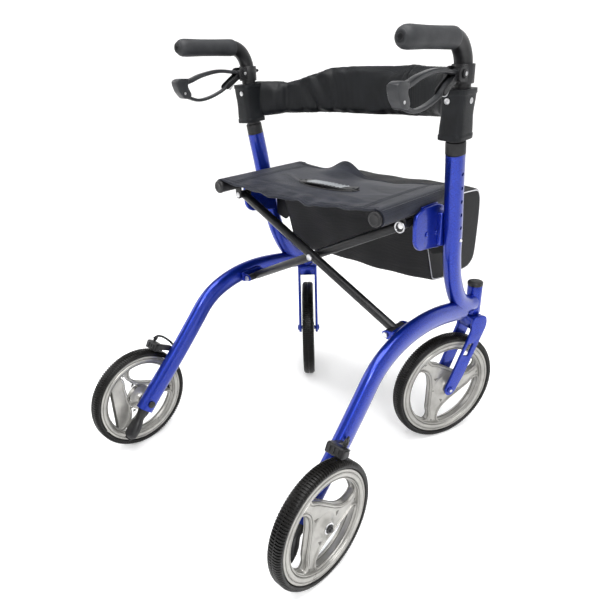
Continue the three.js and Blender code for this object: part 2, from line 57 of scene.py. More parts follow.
SIDES = {"right": 1, "left": -1}
REAR_RADIUS = 114
FRONT_RADIUS = 127
REAR_WHEEL_X = 281
CASTER_X = 248
CASTER_Y = 538
CASTER_TRAIL = 64
CASTER_YAW = {"right": -0.393, "left": 0.746}
HOUSING_TOP = 360
FOLD_HALF_SPAN = 210
LOWER_PIVOT_Z = 335
UPPER_PIVOT_Z = 540
ARM_Y = {"a": 296, "b": 318}
RAIL_X = 208
RAIL_Z = 568
RAIL_RADIUS = 12.7
LEVER_PIVOT = (266, 357, 790)
SLIDE_TOP = Vector((259.5, 387, 659))
SLIDE_DIRECTION = Vector((0.03, -0.165, 0.986)).normalized()
UPRIGHT_LINE = [
    (259.5, 387, 659), (257.4, 395, 612), (255.6, 403, 560), (253.9, 411, 512),
    (251, 421, 455), (248.5, 438, 402), (247, 466, 354), (247.5, 500, 328), (248, 531, 322),
]
LEG_LINE = [
    (245, -12, 101), (245, 26, 139), (245, 65, 176), (245, 105, 215), (245, 150, 262),
    (245, 185, 298), (245, 225, 322), (245, 280, 337), (245, 340, 341), (245, 400, 336),
    (246, 450, 327), (247, 494, 318),
]
HANDLE_LINE = [
    tuple(SLIDE_TOP + 17 * SLIDE_DIRECTION), (261.5, 381.5, 700), (263.5, 380, 740), (265, 380, 785),
    (265.6, 376, 812), (265.6, 364, 831), (265.6, 348, 840.5), (265.6, 330, 843),
]


# ---------------------------------------------------------------- camera

CAMERA_AT = (0.7505, -0.7693, 0.8310)
CAMERA_YAW = 0.7817
CAMERA_PITCH = 0.4137
CAMERA_ROLL = -0.0353
LENS = 33.38
SENSOR_WIDTH = 36
LENS_SHIFT = (0.0036, -0.0073)


def add_camera():
    """The camera stands at the right behind the walker and looks forward and down at it."""
    forward = Vector((
        -sin(CAMERA_YAW) * cos(CAMERA_PITCH),
        cos(CAMERA_YAW) * cos(CAMERA_PITCH),
        -sin(CAMERA_PITCH),
    ))
    level = Vector((cos(CAMERA_YAW), sin(CAMERA_YAW), 0))
    above = level.cross(forward)
    right = cos(CAMERA_ROLL) * level + sin(CAMERA_ROLL) * above
    up = -sin(CAMERA_ROLL) * level + cos(CAMERA_ROLL) * above
    data = bpy.data.cameras.new("camera")
    data.lens = LENS
    data.sensor_width = SENSOR_WIDTH
    data.shift_x, data.shift_y = LENS_SHIFT
    camera = bpy.data.objects.new("camera", data)
    turn = Matrix((right, up, -forward)).transposed().to_4x4()
    camera.matrix_world = Matrix.Translation(CAMERA_AT) @ turn
    bpy.context.collection.objects.link(camera)
    bpy.context.scene.camera = camera


add_camera()


# ---------------------------------------------------------------- materials

def new_material(name):
    material = bpy.data.materials.new(name)
    material.use_nodes = True
    tree = material.node_tree
    shader = tree.nodes["Principled BSDF"]
    place = tree.nodes.new("ShaderNodeTexCoord")
    return material, tree, shader, place.outputs["Object"]


def set_inputs(node, **values):
    """Sets a node's inputs; an underscore in a name stands for a space."""
    for name, value in values.items():
        node.inputs[name.replace("_", " ")].default_value = value


def noise(tree, place, scale, detail=3.0, roughness=0.5):
    node = tree.nodes.new("ShaderNodeTexNoise")
    set_inputs(node, Scale=scale, Detail=detail, Roughness=roughness)
    tree.links.new(place, node.inputs["Vector"])
    return node.outputs["Fac"]


def ramp(tree, value, low, high, from_low=0.3, from_high=0.7):
    node = tree.nodes.new("ShaderNodeValToRGB")
    node.color_ramp.elements[0].position = from_low
    node.color_ramp.elements[1].position = from_high
    node.color_ramp.elements[0].color = (*low, 1)
    node.color_ramp.elements[1].color = (*high, 1)
    tree.links.new(value, node.inputs["Fac"])
    return node.outputs["Color"]


def span(tree, value, low, high):
    node = tree.nodes.new("ShaderNodeMapRange")
    set_inputs(node, To_Min=low, To_Max=high)
    tree.links.new(value, node.inputs["Value"])
    return node.outputs["Result"]


def combine(tree, operation, *values):
    """The result of a math node whose inputs are sockets or numbers."""
    node = tree.nodes.new("ShaderNodeMath")
    node.operation = operation
    for socket, value in zip(node.inputs, values):
        if isinstance(value, float):
            socket.default_value = value
        else:
            tree.links.new(value, socket)
    return node.outputs[0]


def bump(tree, shader, height, strength, distance):
    node = tree.nodes.new("ShaderNodeBump")
    set_inputs(node, Strength=strength, Distance=distance)
    tree.links.new(height, node.inputs["Height"])
    tree.links.new(node.outputs["Normal"], shader.inputs["Normal"])


def metallic_paint(name, low, high, coat):
    material, tree, shader, place = new_material(name)
    flakes = noise(tree, place, 900, 2)
    tree.links.new(ramp(tree, flakes, low, high, 0.35, 0.7), shader.inputs["Base Color"])
    tree.links.new(span(tree, noise(tree, place, 14), 0.24, 0.36), shader.inputs["Roughness"])
    set_inputs(shader, Metallic=0.75, Coat_Weight=coat, Coat_Roughness=0.06)
    bump(tree, shader, noise(tree, place, 260), 0.05, 0.0004)
    return material


def plastic(name, low, high, roughness, grain=700, depth=0.0003, metallic=0.0, specular=0.35):
    material, tree, shader, place = new_material(name)
    tree.links.new(ramp(tree, noise(tree, place, 35), low, high), shader.inputs["Base Color"])
    tree.links.new(
        span(tree, noise(tree, place, 60), roughness - 0.07, roughness + 0.08), shader.inputs["Roughness"])
    set_inputs(shader, Metallic=metallic, Specular_IOR_Level=specular)
    bump(tree, shader, noise(tree, place, grain, 4), 0.35, depth)
    return material


def cloth(name, low, high, pitch=0.0011, sheen=0.25, roughness=0.62):
    """Plain-woven nylon: crossed sets of threads with a little wear in the colour."""
    material, tree, shader, place = new_material(name)
    threads = []
    for axis in ("X", "Y", "Z"):
        wave = tree.nodes.new("ShaderNodeTexWave")
        wave.bands_direction = axis
        set_inputs(wave, Scale=pi / (20 * pitch), Distortion=0.6, Detail=1.0)
        tree.links.new(place, wave.inputs["Vector"])
        threads.append(wave.outputs["Fac"])
    woven = combine(tree, "ADD", combine(tree, "ADD", threads[0], threads[1]), threads[2])
    worn = noise(tree, place, 22, 6, 0.6)
    mixed = combine(tree, "MULTIPLY_ADD", woven, 0.12, worn)
    tree.links.new(ramp(tree, mixed, low, high, 0.4, 0.95), shader.inputs["Base Color"])
    set_inputs(shader, Roughness=roughness, Specular_IOR_Level=0.2, Sheen_Weight=sheen, Sheen_Roughness=0.45)
    bump(tree, shader, woven, 0.5, 0.00025)
    return material


def brushed(name, low, high, roughness):
    material, tree, shader, place = new_material(name)
    tree.links.new(ramp(tree, noise(tree, place, 80), low, high), shader.inputs["Base Color"])
    set_inputs(shader, Metallic=1.0)
    tree.links.new(
        span(tree, noise(tree, place, 300), roughness - 0.08, roughness + 0.1), shader.inputs["Roughness"])
    bump(tree, shader, noise(tree, place, 420), 0.15, 0.0002)
    return material


BLUE = metallic_paint("blue_paint", (0.002, 0.010, 0.15), (0.005, 0.036, 0.42), 0.5)
BLACK_PAINT = plastic("black_paint", (0.004, 0.004, 0.005), (0.010, 0.010, 0.011), 0.34, 500, 0.0002)
BLACK = plastic("black_plastic", (0.005, 0.005, 0.006), (0.012, 0.012, 0.013), 0.42)
LEVER = plastic("lever_plastic", (0.012, 0.013, 0.015), (0.026, 0.027, 0.030), 0.32)
RUBBER = plastic("grip_rubber", (0.012, 0.013, 0.015), (0.026, 0.027, 0.030), 0.55, 1200, 0.0004)
TYRE = plastic(
    "tyre_rubber", (0.003, 0.0028, 0.0027), (0.007, 0.0065, 0.006), 0.36, 600, 0.0002, specular=0.2)
SILVER = plastic("silver_paint", (0.27, 0.265, 0.25), (0.38, 0.372, 0.35), 0.30, 500, 0.00008, 0.6)
# Dark silver for painted shade: the rims' dark lines and marks stand for shade in grooves, under window lips
# and in pockets.
SILVER_PAINTED_SHADE = plastic("silver_painted_shade", (0.10, 0.098, 0.09), (0.15, 0.145, 0.135), 0.5, 500, 0.0001, 0.3)
STEEL = brushed("steel", (0.45, 0.45, 0.46), (0.65, 0.65, 0.66), 0.3)
SEAT_CLOTH = cloth("seat_nylon", (0.005, 0.006, 0.010), (0.020, 0.022, 0.032), sheen=0.03, roughness=0.5)
BACK_CLOTH = cloth("backrest_nylon", (0.002, 0.0025, 0.003), (0.007, 0.008, 0.010), sheen=0.0, roughness=0.42)
BAG_CLOTH = cloth("bag_nylon", (0.002, 0.002, 0.003), (0.005, 0.005, 0.006), sheen=0.0, roughness=0.6)
THREAD = cloth("seam_thread", (0.012, 0.013, 0.018), (0.03, 0.032, 0.04), 0.0009)
PIPING = cloth("piping", (0.35, 0.35, 0.37), (0.6, 0.6, 0.62), 0.0016)
# Light grey for the lift handle's ribs: painted highlight on the dark strap.
RIB_HIGHLIGHT_GREY = plastic("lift_handle_rib_highlight", (0.16, 0.17, 0.18), (0.30, 0.31, 0.32), 0.4)


# ---------------------------------------------------------------- mesh helpers

class Shell:
    """Collects closed surfaces, in millimetres, that become one piece."""

    def __init__(self):
        self.points = []
        self.faces = []
        self.looks = []

    def add(self, points, faces, look=0):
        start = len(self.points)
        self.points += [tuple(p) for p in points]
        self.faces += [[start + i for i in face] for face in faces]
        self.looks += [look] * len(faces)
        return self

    def piece(self, name, materials, body, replaced=(), side="right", matrix=None, sharp=35, slot=None):
        """Makes the piece and rides it on body. A left piece is mirrored, unless matrix places it."""
        mesh = bpy.data.meshes.new(name)
        points = [mm(*p) for p in self.points] if matrix is None else [
            matrix @ (Vector(p) / 1000) for p in self.points]
        mesh.from_pydata(points, [], self.faces)
        for look in materials:
            mesh.materials.append(look)
        mesh.polygons.foreach_set("material_index", self.looks)
        work = bmesh.new()
        work.from_mesh(mesh)
        bmesh.ops.remove_doubles(work, verts=work.verts, dist=1e-6)
        bmesh.ops.recalc_face_normals(work, faces=work.faces)
        if side == "left" and matrix is None:
            bmesh.ops.scale(work, vec=(-1, 1, 1), verts=work.verts)
            bmesh.ops.reverse_faces(work, faces=work.faces)
        work.to_mesh(mesh)
        work.free()
        mesh.shade_smooth()
        mesh.set_sharp_from_angle(angle=radians(sharp))
        piece = bpy.data.objects.new(name, mesh)
        bpy.context.collection.objects.link(piece)
        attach(piece, body)
        if replaced:
            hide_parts(*replaced)
        return piece

    def side_piece(self, side, name, materials, body, node=None, **more):
        """A piece of one side: its name, its body and the node that it replaces all carry the side."""
        carrier = f"{side}_frame" if body == "frame" else f"{body}_{side}"
        replaced = [f"{node}_{side}"] if node else ()
        return self.piece(f"{name}_{side}", materials, carrier, replaced, side, **more)


def applied(thing):
    """The mesh of an object with its modifiers applied; the object loses them."""
    bpy.context.view_layer.update()
    mesh = bpy.data.meshes.new_from_object(thing.evaluated_get(bpy.context.evaluated_depsgraph_get()))
    thing.modifiers.clear()
    return mesh


def loop_faces(loops, n, closed=False):
    """Quads between loops of n points. Closed, the last loop joins the first; else both ends are capped."""
    faces = []
    for i in range(loops if closed else loops - 1):
        here, there = i * n, (i + 1) % loops * n
        faces += [[here + k, here + (k + 1) % n, there + (k + 1) % n, there + k] for k in range(n)]
    if not closed:
        faces += [list(range(n))[::-1], [(loops - 1) * n + k for k in range(n)]]
    return faces


def smooth_line(points, count, closed=False):
    """The points of a Catmull-Rom line through points, evenly spaced."""
    knots = [Vector(p) for p in points]
    dense = []
    total = len(knots) if closed else len(knots) - 1
    for i in range(total):
        if closed:
            a, b, c, d = (knots[(i + k) % len(knots)] for k in (-1, 0, 1, 2))
        else:
            b, c = knots[i], knots[i + 1]
            a = knots[i - 1] if i > 0 else b * 2 - c
            d = knots[i + 2] if i + 2 < len(knots) else c * 2 - b
        for k in range(12):
            t = k / 12
            dense.append(0.5 * (
                2 * b + (c - a) * t + (2 * a - 5 * b + 4 * c - d) * t ** 2
                + (3 * b - a - 3 * c + d) * t ** 3))
    dense.append(knots[0] if closed else knots[-1])
    lengths = [0.0]
    for a, b in zip(dense, dense[1:]):
        lengths.append(lengths[-1] + (b - a).length)
    places = np.linspace(0, lengths[-1], count + 1)
    array = np.array(dense)
    even = np.stack([np.interp(places, lengths, array[:, k]) for k in range(3)], axis=1)
    line = [Vector(p) for p in even]
    return line[:-1] if closed else line


def oval(half_a, half_b, sides, power=2.0):
    """An ellipse about the origin, squarer for a higher power."""
    points = []
    for i in range(sides):
        angle = 2 * pi * i / sides
        c, s = cos(angle), sin(angle)
        points.append((
            half_a * copysign(abs(c) ** (2 / power), c),
            half_b * copysign(abs(s) ** (2 / power), s),
        ))
    return points


def sweep(shell, line, section, hint=(1, 0, 0), closed=False, scale=None, look=0):
    """Moves section along line; its first axis stays close to hint."""
    points = []
    count = len(line)
    for i, at in enumerate(line):
        if closed:
            tangent = line[(i + 1) % count] - line[i - 1]
        else:
            tangent = line[min(i + 1, count - 1)] - line[max(i - 1, 0)]
        tangent.normalize()
        across = Vector(hint) - tangent * tangent.dot(Vector(hint))
        across.normalize()
        other = tangent.cross(across)
        grow = scale(i / (count - 1)) if scale else (1, 1)
        for a, b in section:
            points.append(at + across * a * grow[0] + other * b * grow[1])
    return shell.add(points, loop_faces(count, len(section), closed), look)


def revolve(shell, profile, sides, start, direction, look=0, closed=False):
    """Turns profile, as (distance along, radius), about the line from start."""
    axis = Vector(direction).normalized()
    side = axis.orthogonal().normalized()
    if abs(axis.x) > 0.9:
        side = Vector((0, 0, 1))
    other = axis.cross(side)
    points = []
    for along, radius in profile:
        for k in range(sides):
            angle = 2 * pi * k / sides
            points.append(
                Vector(start) + axis * along + side * radius * cos(angle) + other * radius * sin(angle))
    return shell.add(points, loop_faces(len(profile), sides, closed), look)


def rod(shell, start, end, radius, sides=24, edge=0.6, look=0):
    """A round bar with softened edges."""
    a, b = Vector(start), Vector(end)
    length = (b - a).length
    edge = min(edge, length / 3, radius / 3)
    profile = [(0, radius - edge), (edge * 0.3, radius - edge * 0.3), (edge, radius)]
    profile += [(length - edge, radius), (length - edge * 0.3, radius - edge * 0.3), (length, radius - edge)]
    return revolve(shell, profile, sides, a, b - a, look)


def slab(shell, outline, holes, half_depth, bevel, to_place, look=0, steps=2):
    """A flat shape with rounded edges: outline less holes, placed by the function to_place(u, v, w)."""
    curve = bpy.data.curves.new("slab", "CURVE")
    curve.dimensions = "2D"
    curve.fill_mode = "BOTH"
    for loop in [outline, *holes]:
        spline = curve.splines.new("POLY")
        spline.points.add(len(loop) - 1)
        for i, (u, v) in enumerate(loop):
            spline.points[i].co = (u, v, 0, 1)
        spline.use_cyclic_u = True
    curve.extrude = half_depth - bevel
    curve.bevel_depth = bevel
    curve.bevel_resolution = steps
    curve.offset = -bevel
    holder = bpy.data.objects.new("slab", curve)
    bpy.context.collection.objects.link(holder)
    mesh = applied(holder)
    work = bmesh.new()
    work.from_mesh(mesh)
    bmesh.ops.remove_doubles(work, verts=work.verts, dist=1e-3)
    work.verts.ensure_lookup_table()
    work.verts.index_update()
    points = [to_place(*v.co) for v in work.verts]
    faces = [[v.index for v in face.verts] for face in work.faces]
    work.free()
    bpy.data.objects.remove(holder)
    bpy.data.curves.remove(curve)
    bpy.data.meshes.remove(mesh)
    return shell.add(points, faces, look)


def rounded(corners, radius, steps=5):
    """A closed outline whose corners are rounded."""
    outline = []
    count = len(corners)
    for i, corner in enumerate(corners):
        here = Vector(corner)
        before = Vector(corners[i - 1]) - here
        after = Vector(corners[(i + 1) % count]) - here
        reach = min(radius, before.length * 0.45, after.length * 0.45)
        a = here + before.normalized() * reach
        b = here + after.normalized() * reach
        for k in range(steps + 1):
            t = k / steps
            outline.append(tuple((1 - t) ** 2 * a + 2 * t * (1 - t) * here + t ** 2 * b))
    return outline


def in_side_plane(x):
    """Places a slab drawn in (y, z) at the given x."""
    return lambda u, v, w: (x + w, u, v)


def in_cross_plane(y):
    """Places a slab drawn in (x, z) at the given y."""
    return lambda u, v, w: (u, y - w, v)


def hex_head(shell, start, direction, radius, height, look=0):
    revolve(shell, [(0, radius), (height * 0.8, radius), (height, radius * 0.82)], 6, start, direction, look)


# ---------------------------------------------------------------- wheels

WINDOW_COUNT = 3
WEB_HALF = 7
TREAD_PITCH = 5.4


def tyre_shell(radius, rim_radius):
    """A tyre about X whose tread is two rows of ribs."""
    shell = Shell()
    half = 14.5
    shoulder = radius - 5
    profile = [
        (-half + 3, rim_radius), (-half + 0.5, rim_radius + 1.5), (-half, rim_radius + 4),
        (-half, shoulder - 2),
        (-13.6, shoulder + 0.8), (-12, shoulder + 2.8), (-9.5, radius - 0.7), (-7, radius), (-1.6, radius),
        (-1, radius - 0.8), (1, radius - 0.8), (1.6, radius),
        (7, radius), (9.5, radius - 0.7), (12, shoulder + 2.8), (13.6, shoulder + 0.8), (half, shoulder - 2),
        (half, rim_radius + 4), (half - 0.5, rim_radius + 1.5), (half - 3, rim_radius),
    ]
    ribs = int(2 * pi * radius / TREAD_PITCH)
    depths = [0, 0, 2.4, 2.4]
    places = [0.0, 0.5, 0.6, 0.9]
    points = []
    for rib in range(ribs):
        for place, depth in zip(places, depths):
            angle = 2 * pi * (rib + place) / ribs
            for x, r in profile:
                tread = depth if r > shoulder and abs(x) > 1.2 else 0
                points.append((x, (r - tread) * sin(angle), (r - tread) * cos(angle)))
    return shell.add(points, loop_faces(ribs * len(places), len(profile), closed=True))


def window_outline(radius, turn):
    """A D whose round side follows the rim and whose straight side leans, for a swirl."""
    polar = [(0.82, degrees) for degrees in range(-42, 45, 4)]
    polar += [(0.805, 47.5), (0.77, 49.5), (0.72, 49.5), (0.66, 47)]
    polar += [(0.355 / cos(radians(degrees + 13)), degrees) for degrees in (39, 30, 18, 6, -8, -22)]
    polar += [(0.385, -32), (0.43, -42), (0.50, -49), (0.58, -52), (0.67, -52), (0.75, -50), (0.80, -46.5)]
    knots = []
    for r, degrees in polar:
        angle = turn + radians(degrees)
        knots.append((0, r * radius * cos(angle), r * radius * sin(angle)))
    return [(p.y, p.z) for p in smooth_line(knots, 96, closed=True)]


def grown(outline, distance):
    """The closed outline moved outwards by distance."""
    moved = []
    for i, here in enumerate(outline):
        before, after = Vector(outline[i - 1]), Vector(outline[(i + 1) % len(outline)])
        along = (after - before).normalized()
        moved.append((here[0] + along.y * distance, here[1] - along.x * distance))
    return moved


def rim_shell(radius, turn):
    """Silver spoked wheel about X, with its hub at the origin. Look 1 is painted shade: dark lines and marks
    standing for the shade in the grooves, under the window lips and in the pockets.
    """
    shell = Shell()
    barrel = [
        (-10.5, 0.826), (-11.9, 0.832), (-12.2, 0.842), (-11.0, 0.849), (-11.0, 0.860), (-12.9, 0.868),
        (-13.8, 0.885), (-13.9, 0.925), (-12.8, 0.935), (-12.8, 0.95), (-13.6, 0.96), (-12.6, 0.99),
    ]
    barrel += [(-x, r) for x, r in reversed(barrel)]
    revolve(shell, [(x, r * radius) for x, r in barrel], 120, (0, 0, 0), (1, 0, 0), closed=True)
    # Thin dark rings in the barrel's grooves: painted shade.
    for face in (-1, 1):
        for r, x in ((0.855, 11.05 * face), (0.9425, 12.85 * face)):
            ring = smooth_line([(x, y, z) for y, z in oval(radius * r, radius * r, 24)], 120, closed=True)
            sweep(shell, ring, oval(0.35, 0.55, 6), hint=(1, 0, 0), closed=True, look=1)
    disc = oval(0.84 * radius, 0.84 * radius, 120)
    turns = [i * 2 * pi / WINDOW_COUNT + turn for i in range(WINDOW_COUNT)]
    windows = [window_outline(radius, turn) for turn in turns]
    slab(shell, disc, windows, WEB_HALF, 1.6, lambda u, v, w: (w, -v, u))
    for window in windows:
        for face in (-1, 1):
            # Look 1 lines at and beside each window's edge are painted shadow under its lips; look 0 lines
            # are raised ridges.
            for distance, height, size, look in (
                    (-0.2, -1.9, 0.6, 1), (2.4, 0.1, 1.8, 0), (5.0, 0, 0.4, 1), (6.5, -0.1, 1.0, 0)):
                line = [Vector((face * (WEB_HALF + height), -v, u)) for u, v in grown(window, distance)]
                reach = 0.82 * radius + distance / 5
                line = [Vector((p.x, *(p.yz.normalized() * min(p.yz.length, reach)))) for p in line]
                sweep(shell, line, oval(size, size, 8), hint=(1, 0, 0), closed=True, look=look)
    hub = [
        (-16, 9), (-16, 0.105 * radius), (-15, 0.12 * radius), (-12, 0.14 * radius), (-9.5, 0.175 * radius),
        (-7.8, 0.22 * radius), (-6, 0.28 * radius), (6, 0.28 * radius), (7.8, 0.22 * radius),
        (9.5, 0.175 * radius), (12, 0.14 * radius), (15, 0.12 * radius), (16, 0.105 * radius), (16, 9),
    ]
    revolve(shell, hub, 64, (0, 0, 0), (1, 0, 0))
    # Flat dark triangles on the web: painted shade standing for the pockets beside each spoke.
    for turn in turns:
        for face in (-1, 1):
            for spoke, distance, size in ((turn + 1.16, 0.31, 2.0), (turn + 1.02, 0.77, 1.3)):
                y, z = -distance * radius * sin(spoke), distance * radius * cos(spoke)
                outline = rounded([(-2.6 * size, -2 * size), (3 * size, -size), (0.4 * size, 2 * size)], size)
                c, s = cos(spoke + 0.5), sin(spoke + 0.5)
                slab(
                    shell, outline, [], 0.5, 0.2,
                    lambda u, v, w, y=y, z=z, c=c, s=s, face=face: (
                        face * (WEB_HALF - 0.1) + w, y - u * s - v * c, z + u * c - v * s),
                    look=1)
    return shell


REAR_RIM_RADIUS = 102
FRONT_RIM_RADIUS = 114
REAR_TURN = {"right": -0.49, "left": 0.63}
FRONT_TURN = -0.33


def caster_place(side):
    """The caster's frame: its swivel axis at floor height, turned to the side's angle."""
    turn = Matrix.Rotation(CASTER_YAW[side], 4, "Z")
    return Matrix.Translation(mm(SIDES[side] * CASTER_X, CASTER_Y, 0)) @ turn


def add_rear_axle(side):
    bolt = Shell()
    rod(bolt, (226.5, 0, REAR_RADIUS), (305, 0, REAR_RADIUS), 4.4, 24, 1.2)
    rod(bolt, (226.7, 0, REAR_RADIUS), (230.7, 0, REAR_RADIUS), 8, 24, 1.2)
    rod(bolt, (259.4, 0, REAR_RADIUS), (264.6, 0, REAR_RADIUS), 9, 24, 0.6)
    rod(bolt, (297.3, 0, REAR_RADIUS), (298.4, 0, REAR_RADIUS), 10.5, 28, 0.4, look=1)
    hex_head(bolt, (298, 0, REAR_RADIUS), (1, 0, 0), 8, 4)
    bolt.side_piece(side, "rear_axle_bolt", [BLACK_PAINT, STEEL], "frame", "rear_axle", slot="steel")


def add_front_axle(side, matrix):
    pin = Shell()
    rod(pin, (-30, 0, 0), (30, 0, 0), 5)
    for end in (-1, 1):
        rod(pin, (end * 26.2, 0, 0), (end * 29, 0, 0), 8, 24, 1.4)
        hex_head(pin, (end * 28.7, 0, 0), (end, 0, 0), 3.8, 1.6, look=1)
    pin.side_piece(side, "front_axle_bolt", [BLUE, STEEL], "caster", "front_axle", matrix=matrix,
                   slot="steel")


def add_wheels():
    rear_tyre = tyre_shell(REAR_RADIUS, REAR_RIM_RADIUS)
    front_tyre = tyre_shell(FRONT_RADIUS, FRONT_RIM_RADIUS)
    front_rim = rim_shell(FRONT_RIM_RADIUS, FRONT_TURN)
    for side, sign in SIDES.items():
        rear_rim = rim_shell(REAR_RIM_RADIUS, REAR_TURN[side])
        rear = Matrix.Translation(mm(sign * REAR_WHEEL_X, 0, REAR_RADIUS))
        front = caster_place(side) @ Matrix.Translation((0, -CASTER_TRAIL / 1000, FRONT_RADIUS / 1000))
        flip = Matrix.Rotation(pi if side == "left" else 0, 4, "Z")
        ends = (("rear", rear, rear_tyre, rear_rim), ("front", front, front_tyre, front_rim))
        for end, matrix, tyre, rim in ends:
            tyre.side_piece(side, f"{end}_tyre_tread", [TYRE], f"{end}_wheel", f"{end}_tyre", matrix=matrix,
                            sharp=30)
            rim.side_piece(side, f"{end}_rim_spokes", [SILVER, SILVER_PAINTED_SHADE], f"{end}_wheel", f"{end}_rim",
                           matrix=matrix @ flip)
        add_rear_axle(side)
        add_front_axle(side, front)


add_wheels()


# ---------------------------------------------------------------- casters

def add_fork(side):
    fork = Shell()
    arm = [
        (-19, 262), (-20, 280), (-15, 292), (-6, 295), (10, 295), (18, 291), (21, 280), (20, 268), (14, 254),
        (-4, 214), (-30, 156), (-50, 121), (-57, 114.5), (-64, 112.5), (-71, 115), (-76, 122), (-76.5, 130),
        (-72, 140), (-60, 166),
    ]
    window = rounded([(-24, 232), (-36, 208), (-22, 203), (-10, 233)], 3)
    for end in (-1, 1):
        slab(fork, rounded(arm, 6, 3), [window], 3.5, 1.6, in_side_plane(end * 22.5))
    crown = rounded([(-17, 263), (-19, 283), (-13, 294), (13, 294), (19, 283), (17, 263)], 6, 4)
    slab(fork, crown, [], 21, 3, in_side_plane(0))
    rod(fork, (0, 0, 288), (0, 0, 296.4), 11)
    rod(fork, (0, 0, 280), (0, 0, HOUSING_TOP - 4), 6)
    fork.side_piece(side, "caster_fork", [BLUE], "caster", "fork", matrix=caster_place(side), sharp=40)
    cap = Shell()
    profile = [(0, 16.2), (1, 16.5), (6, 16.5), (8, 15.2), (9, 12), (9.2, 6), (9.2, 1)]
    revolve(cap, profile, 40, (CASTER_X, CASTER_Y, HOUSING_TOP + 0.3), (0, 0, 1))
    cap.side_piece(side, "caster_cap", [BLACK], "frame", "stem_cap")


# ---------------------------------------------------------------- side frames

HOLE_PITCH = 26
HOLE_COUNT = 6
LOWEST_HOLE = -166


def hole_place(i):
    """The middle of the height hole i, counted upwards, on the slide's line."""
    return SLIDE_TOP + SLIDE_DIRECTION * (LOWEST_HOLE + i * HOLE_PITCH)


def drill(piece, tools):
    """Cuts the shell of tools out of the piece's mesh."""
    mesh = bpy.data.meshes.new("tools")
    mesh.from_pydata([mm(*p) for p in tools.points], [], tools.faces)
    work = bmesh.new()
    work.from_mesh(mesh)
    bmesh.ops.recalc_face_normals(work, faces=work.faces)
    work.to_mesh(mesh)
    work.free()
    cutter = bpy.data.objects.new("tools", mesh)
    bpy.context.collection.objects.link(cutter)
    modifier = piece.modifiers.new("drill", "BOOLEAN")
    modifier.operation = "DIFFERENCE"
    modifier.solver = "EXACT"
    modifier.object = cutter
    drilled = applied(piece)
    piece.data = drilled
    bpy.data.objects.remove(cutter)
    drilled.shade_smooth()
    drilled.set_sharp_from_angle(angle=radians(40))


def add_tubes(side):
    """The bent upright, with height holes and the caster's housing, and the leg down to the rear wheel."""
    tube = Shell()
    sweep(tube, smooth_line(UPRIGHT_LINE, 90), oval(16, 19, 40, 2.2))
    rod(tube, (CASTER_X, CASTER_Y, 297), (CASTER_X, CASTER_Y, HOUSING_TOP), 16, 40, 1.2)
    upright = tube.side_piece(side, "upright_tube", [BLUE], "frame", "upright")
    holes = Shell()
    for i in range(HOLE_COUNT):
        x, y, z = hole_place(i)
        rod(holes, (SIDES[side] * (x + 9), y, z), (SIDES[side] * (x + 30), y, z), 3.5, 16, 0.1)
    drill(upright, holes)

    leg = Shell()
    sweep(leg, smooth_line(LEG_LINE, 90), oval(14, 21, 40, 2.3))
    leg.side_piece(side, "leg_tube", [BLUE], "frame", "leg")


def pedal_size(t):
    """Half width and half depth of the pedal, which has a neck and a rounded tip."""
    neck = exp(-((t - 0.3) / 0.16) ** 2)
    tip = max(0.0, (t - 0.86) / 0.14)
    return (
        (12.5 + 4.5 * min(1, max(0, t - 0.3) * 2.6) - 3.2 * neck) * (1 - 0.55 * tip ** 2),
        (12.5 - 3.2 * t - 3.6 * neck) * (1 - 0.5 * tip ** 2))


def add_pedal(side):
    pedal = Shell()
    line = smooth_line([
        (245, -12, 101), (245, -20, 92), (245, -30, 80), (245, -40, 69), (245, -50, 59), (245, -61, 50)], 36)
    sweep(pedal, line, oval(1, 1, 36, 2.6), scale=pedal_size)
    for i in range(6):
        at = line[18 + 3 * i]
        rod(pedal, (234, at.y - 5.6, at.z - 4.8), (256, at.y - 5.6, at.z - 4.8), 1.8, 10, 0.5)
    pedal.side_piece(side, "tilt_pedal_pad", [BLACK], "frame", "tilt_pedal")


def add_collar_ring(side):
    ring = Shell()
    start = SLIDE_TOP + SLIDE_DIRECTION * 0.2
    profile = [(0, 17.2), (0.8, 17.8), (20, 17.6), (22, 17), (23, 15.4), (23, 13)]
    revolve(ring, profile, 40, start, SLIDE_DIRECTION)
    ring.side_piece(side, "collar_ring", [BLACK], "frame", "collar")


SADDLE_OUTSIDE = 21
SADDLE_INSIDE = 17.5


def add_saddle(side):
    """The cradle that the open seat's rail rests in, and its plate on the upright."""
    cradle = Shell()
    outline = []
    for radius, steps in ((SADDLE_OUTSIDE, range(17)), (SADDLE_INSIDE, range(16, -1, -1))):
        for i in steps:
            angle = pi + pi * i / 16
            outline.append((RAIL_X + radius * cos(angle), RAIL_Z + radius * sin(angle)))
    slab(cradle, outline, [], 26, 0.6, in_cross_plane(366))
    plate = [
        (314, 542), (316, 504), (330, 489), (372, 484), (411, 477), (412, 558), (392, 566), (340, 566),
        (316, 556)]
    slab(cradle, rounded(plate, 12), [], 4, 2.4, in_side_plane(230))
    slab(cradle, rounded([(386, 486), (412, 482), (412, 550), (386, 550)], 5), [], 7, 2, in_side_plane(236))
    for bolt_y, bolt_z in ((352, 516), (384, 512)):
        rod(cradle, (233, bolt_y, bolt_z), (236.6, bolt_y, bolt_z), 5.2, 24, 1.2)
    cradle.side_piece(side, "seat_saddle", [BLUE], "frame", "saddle")


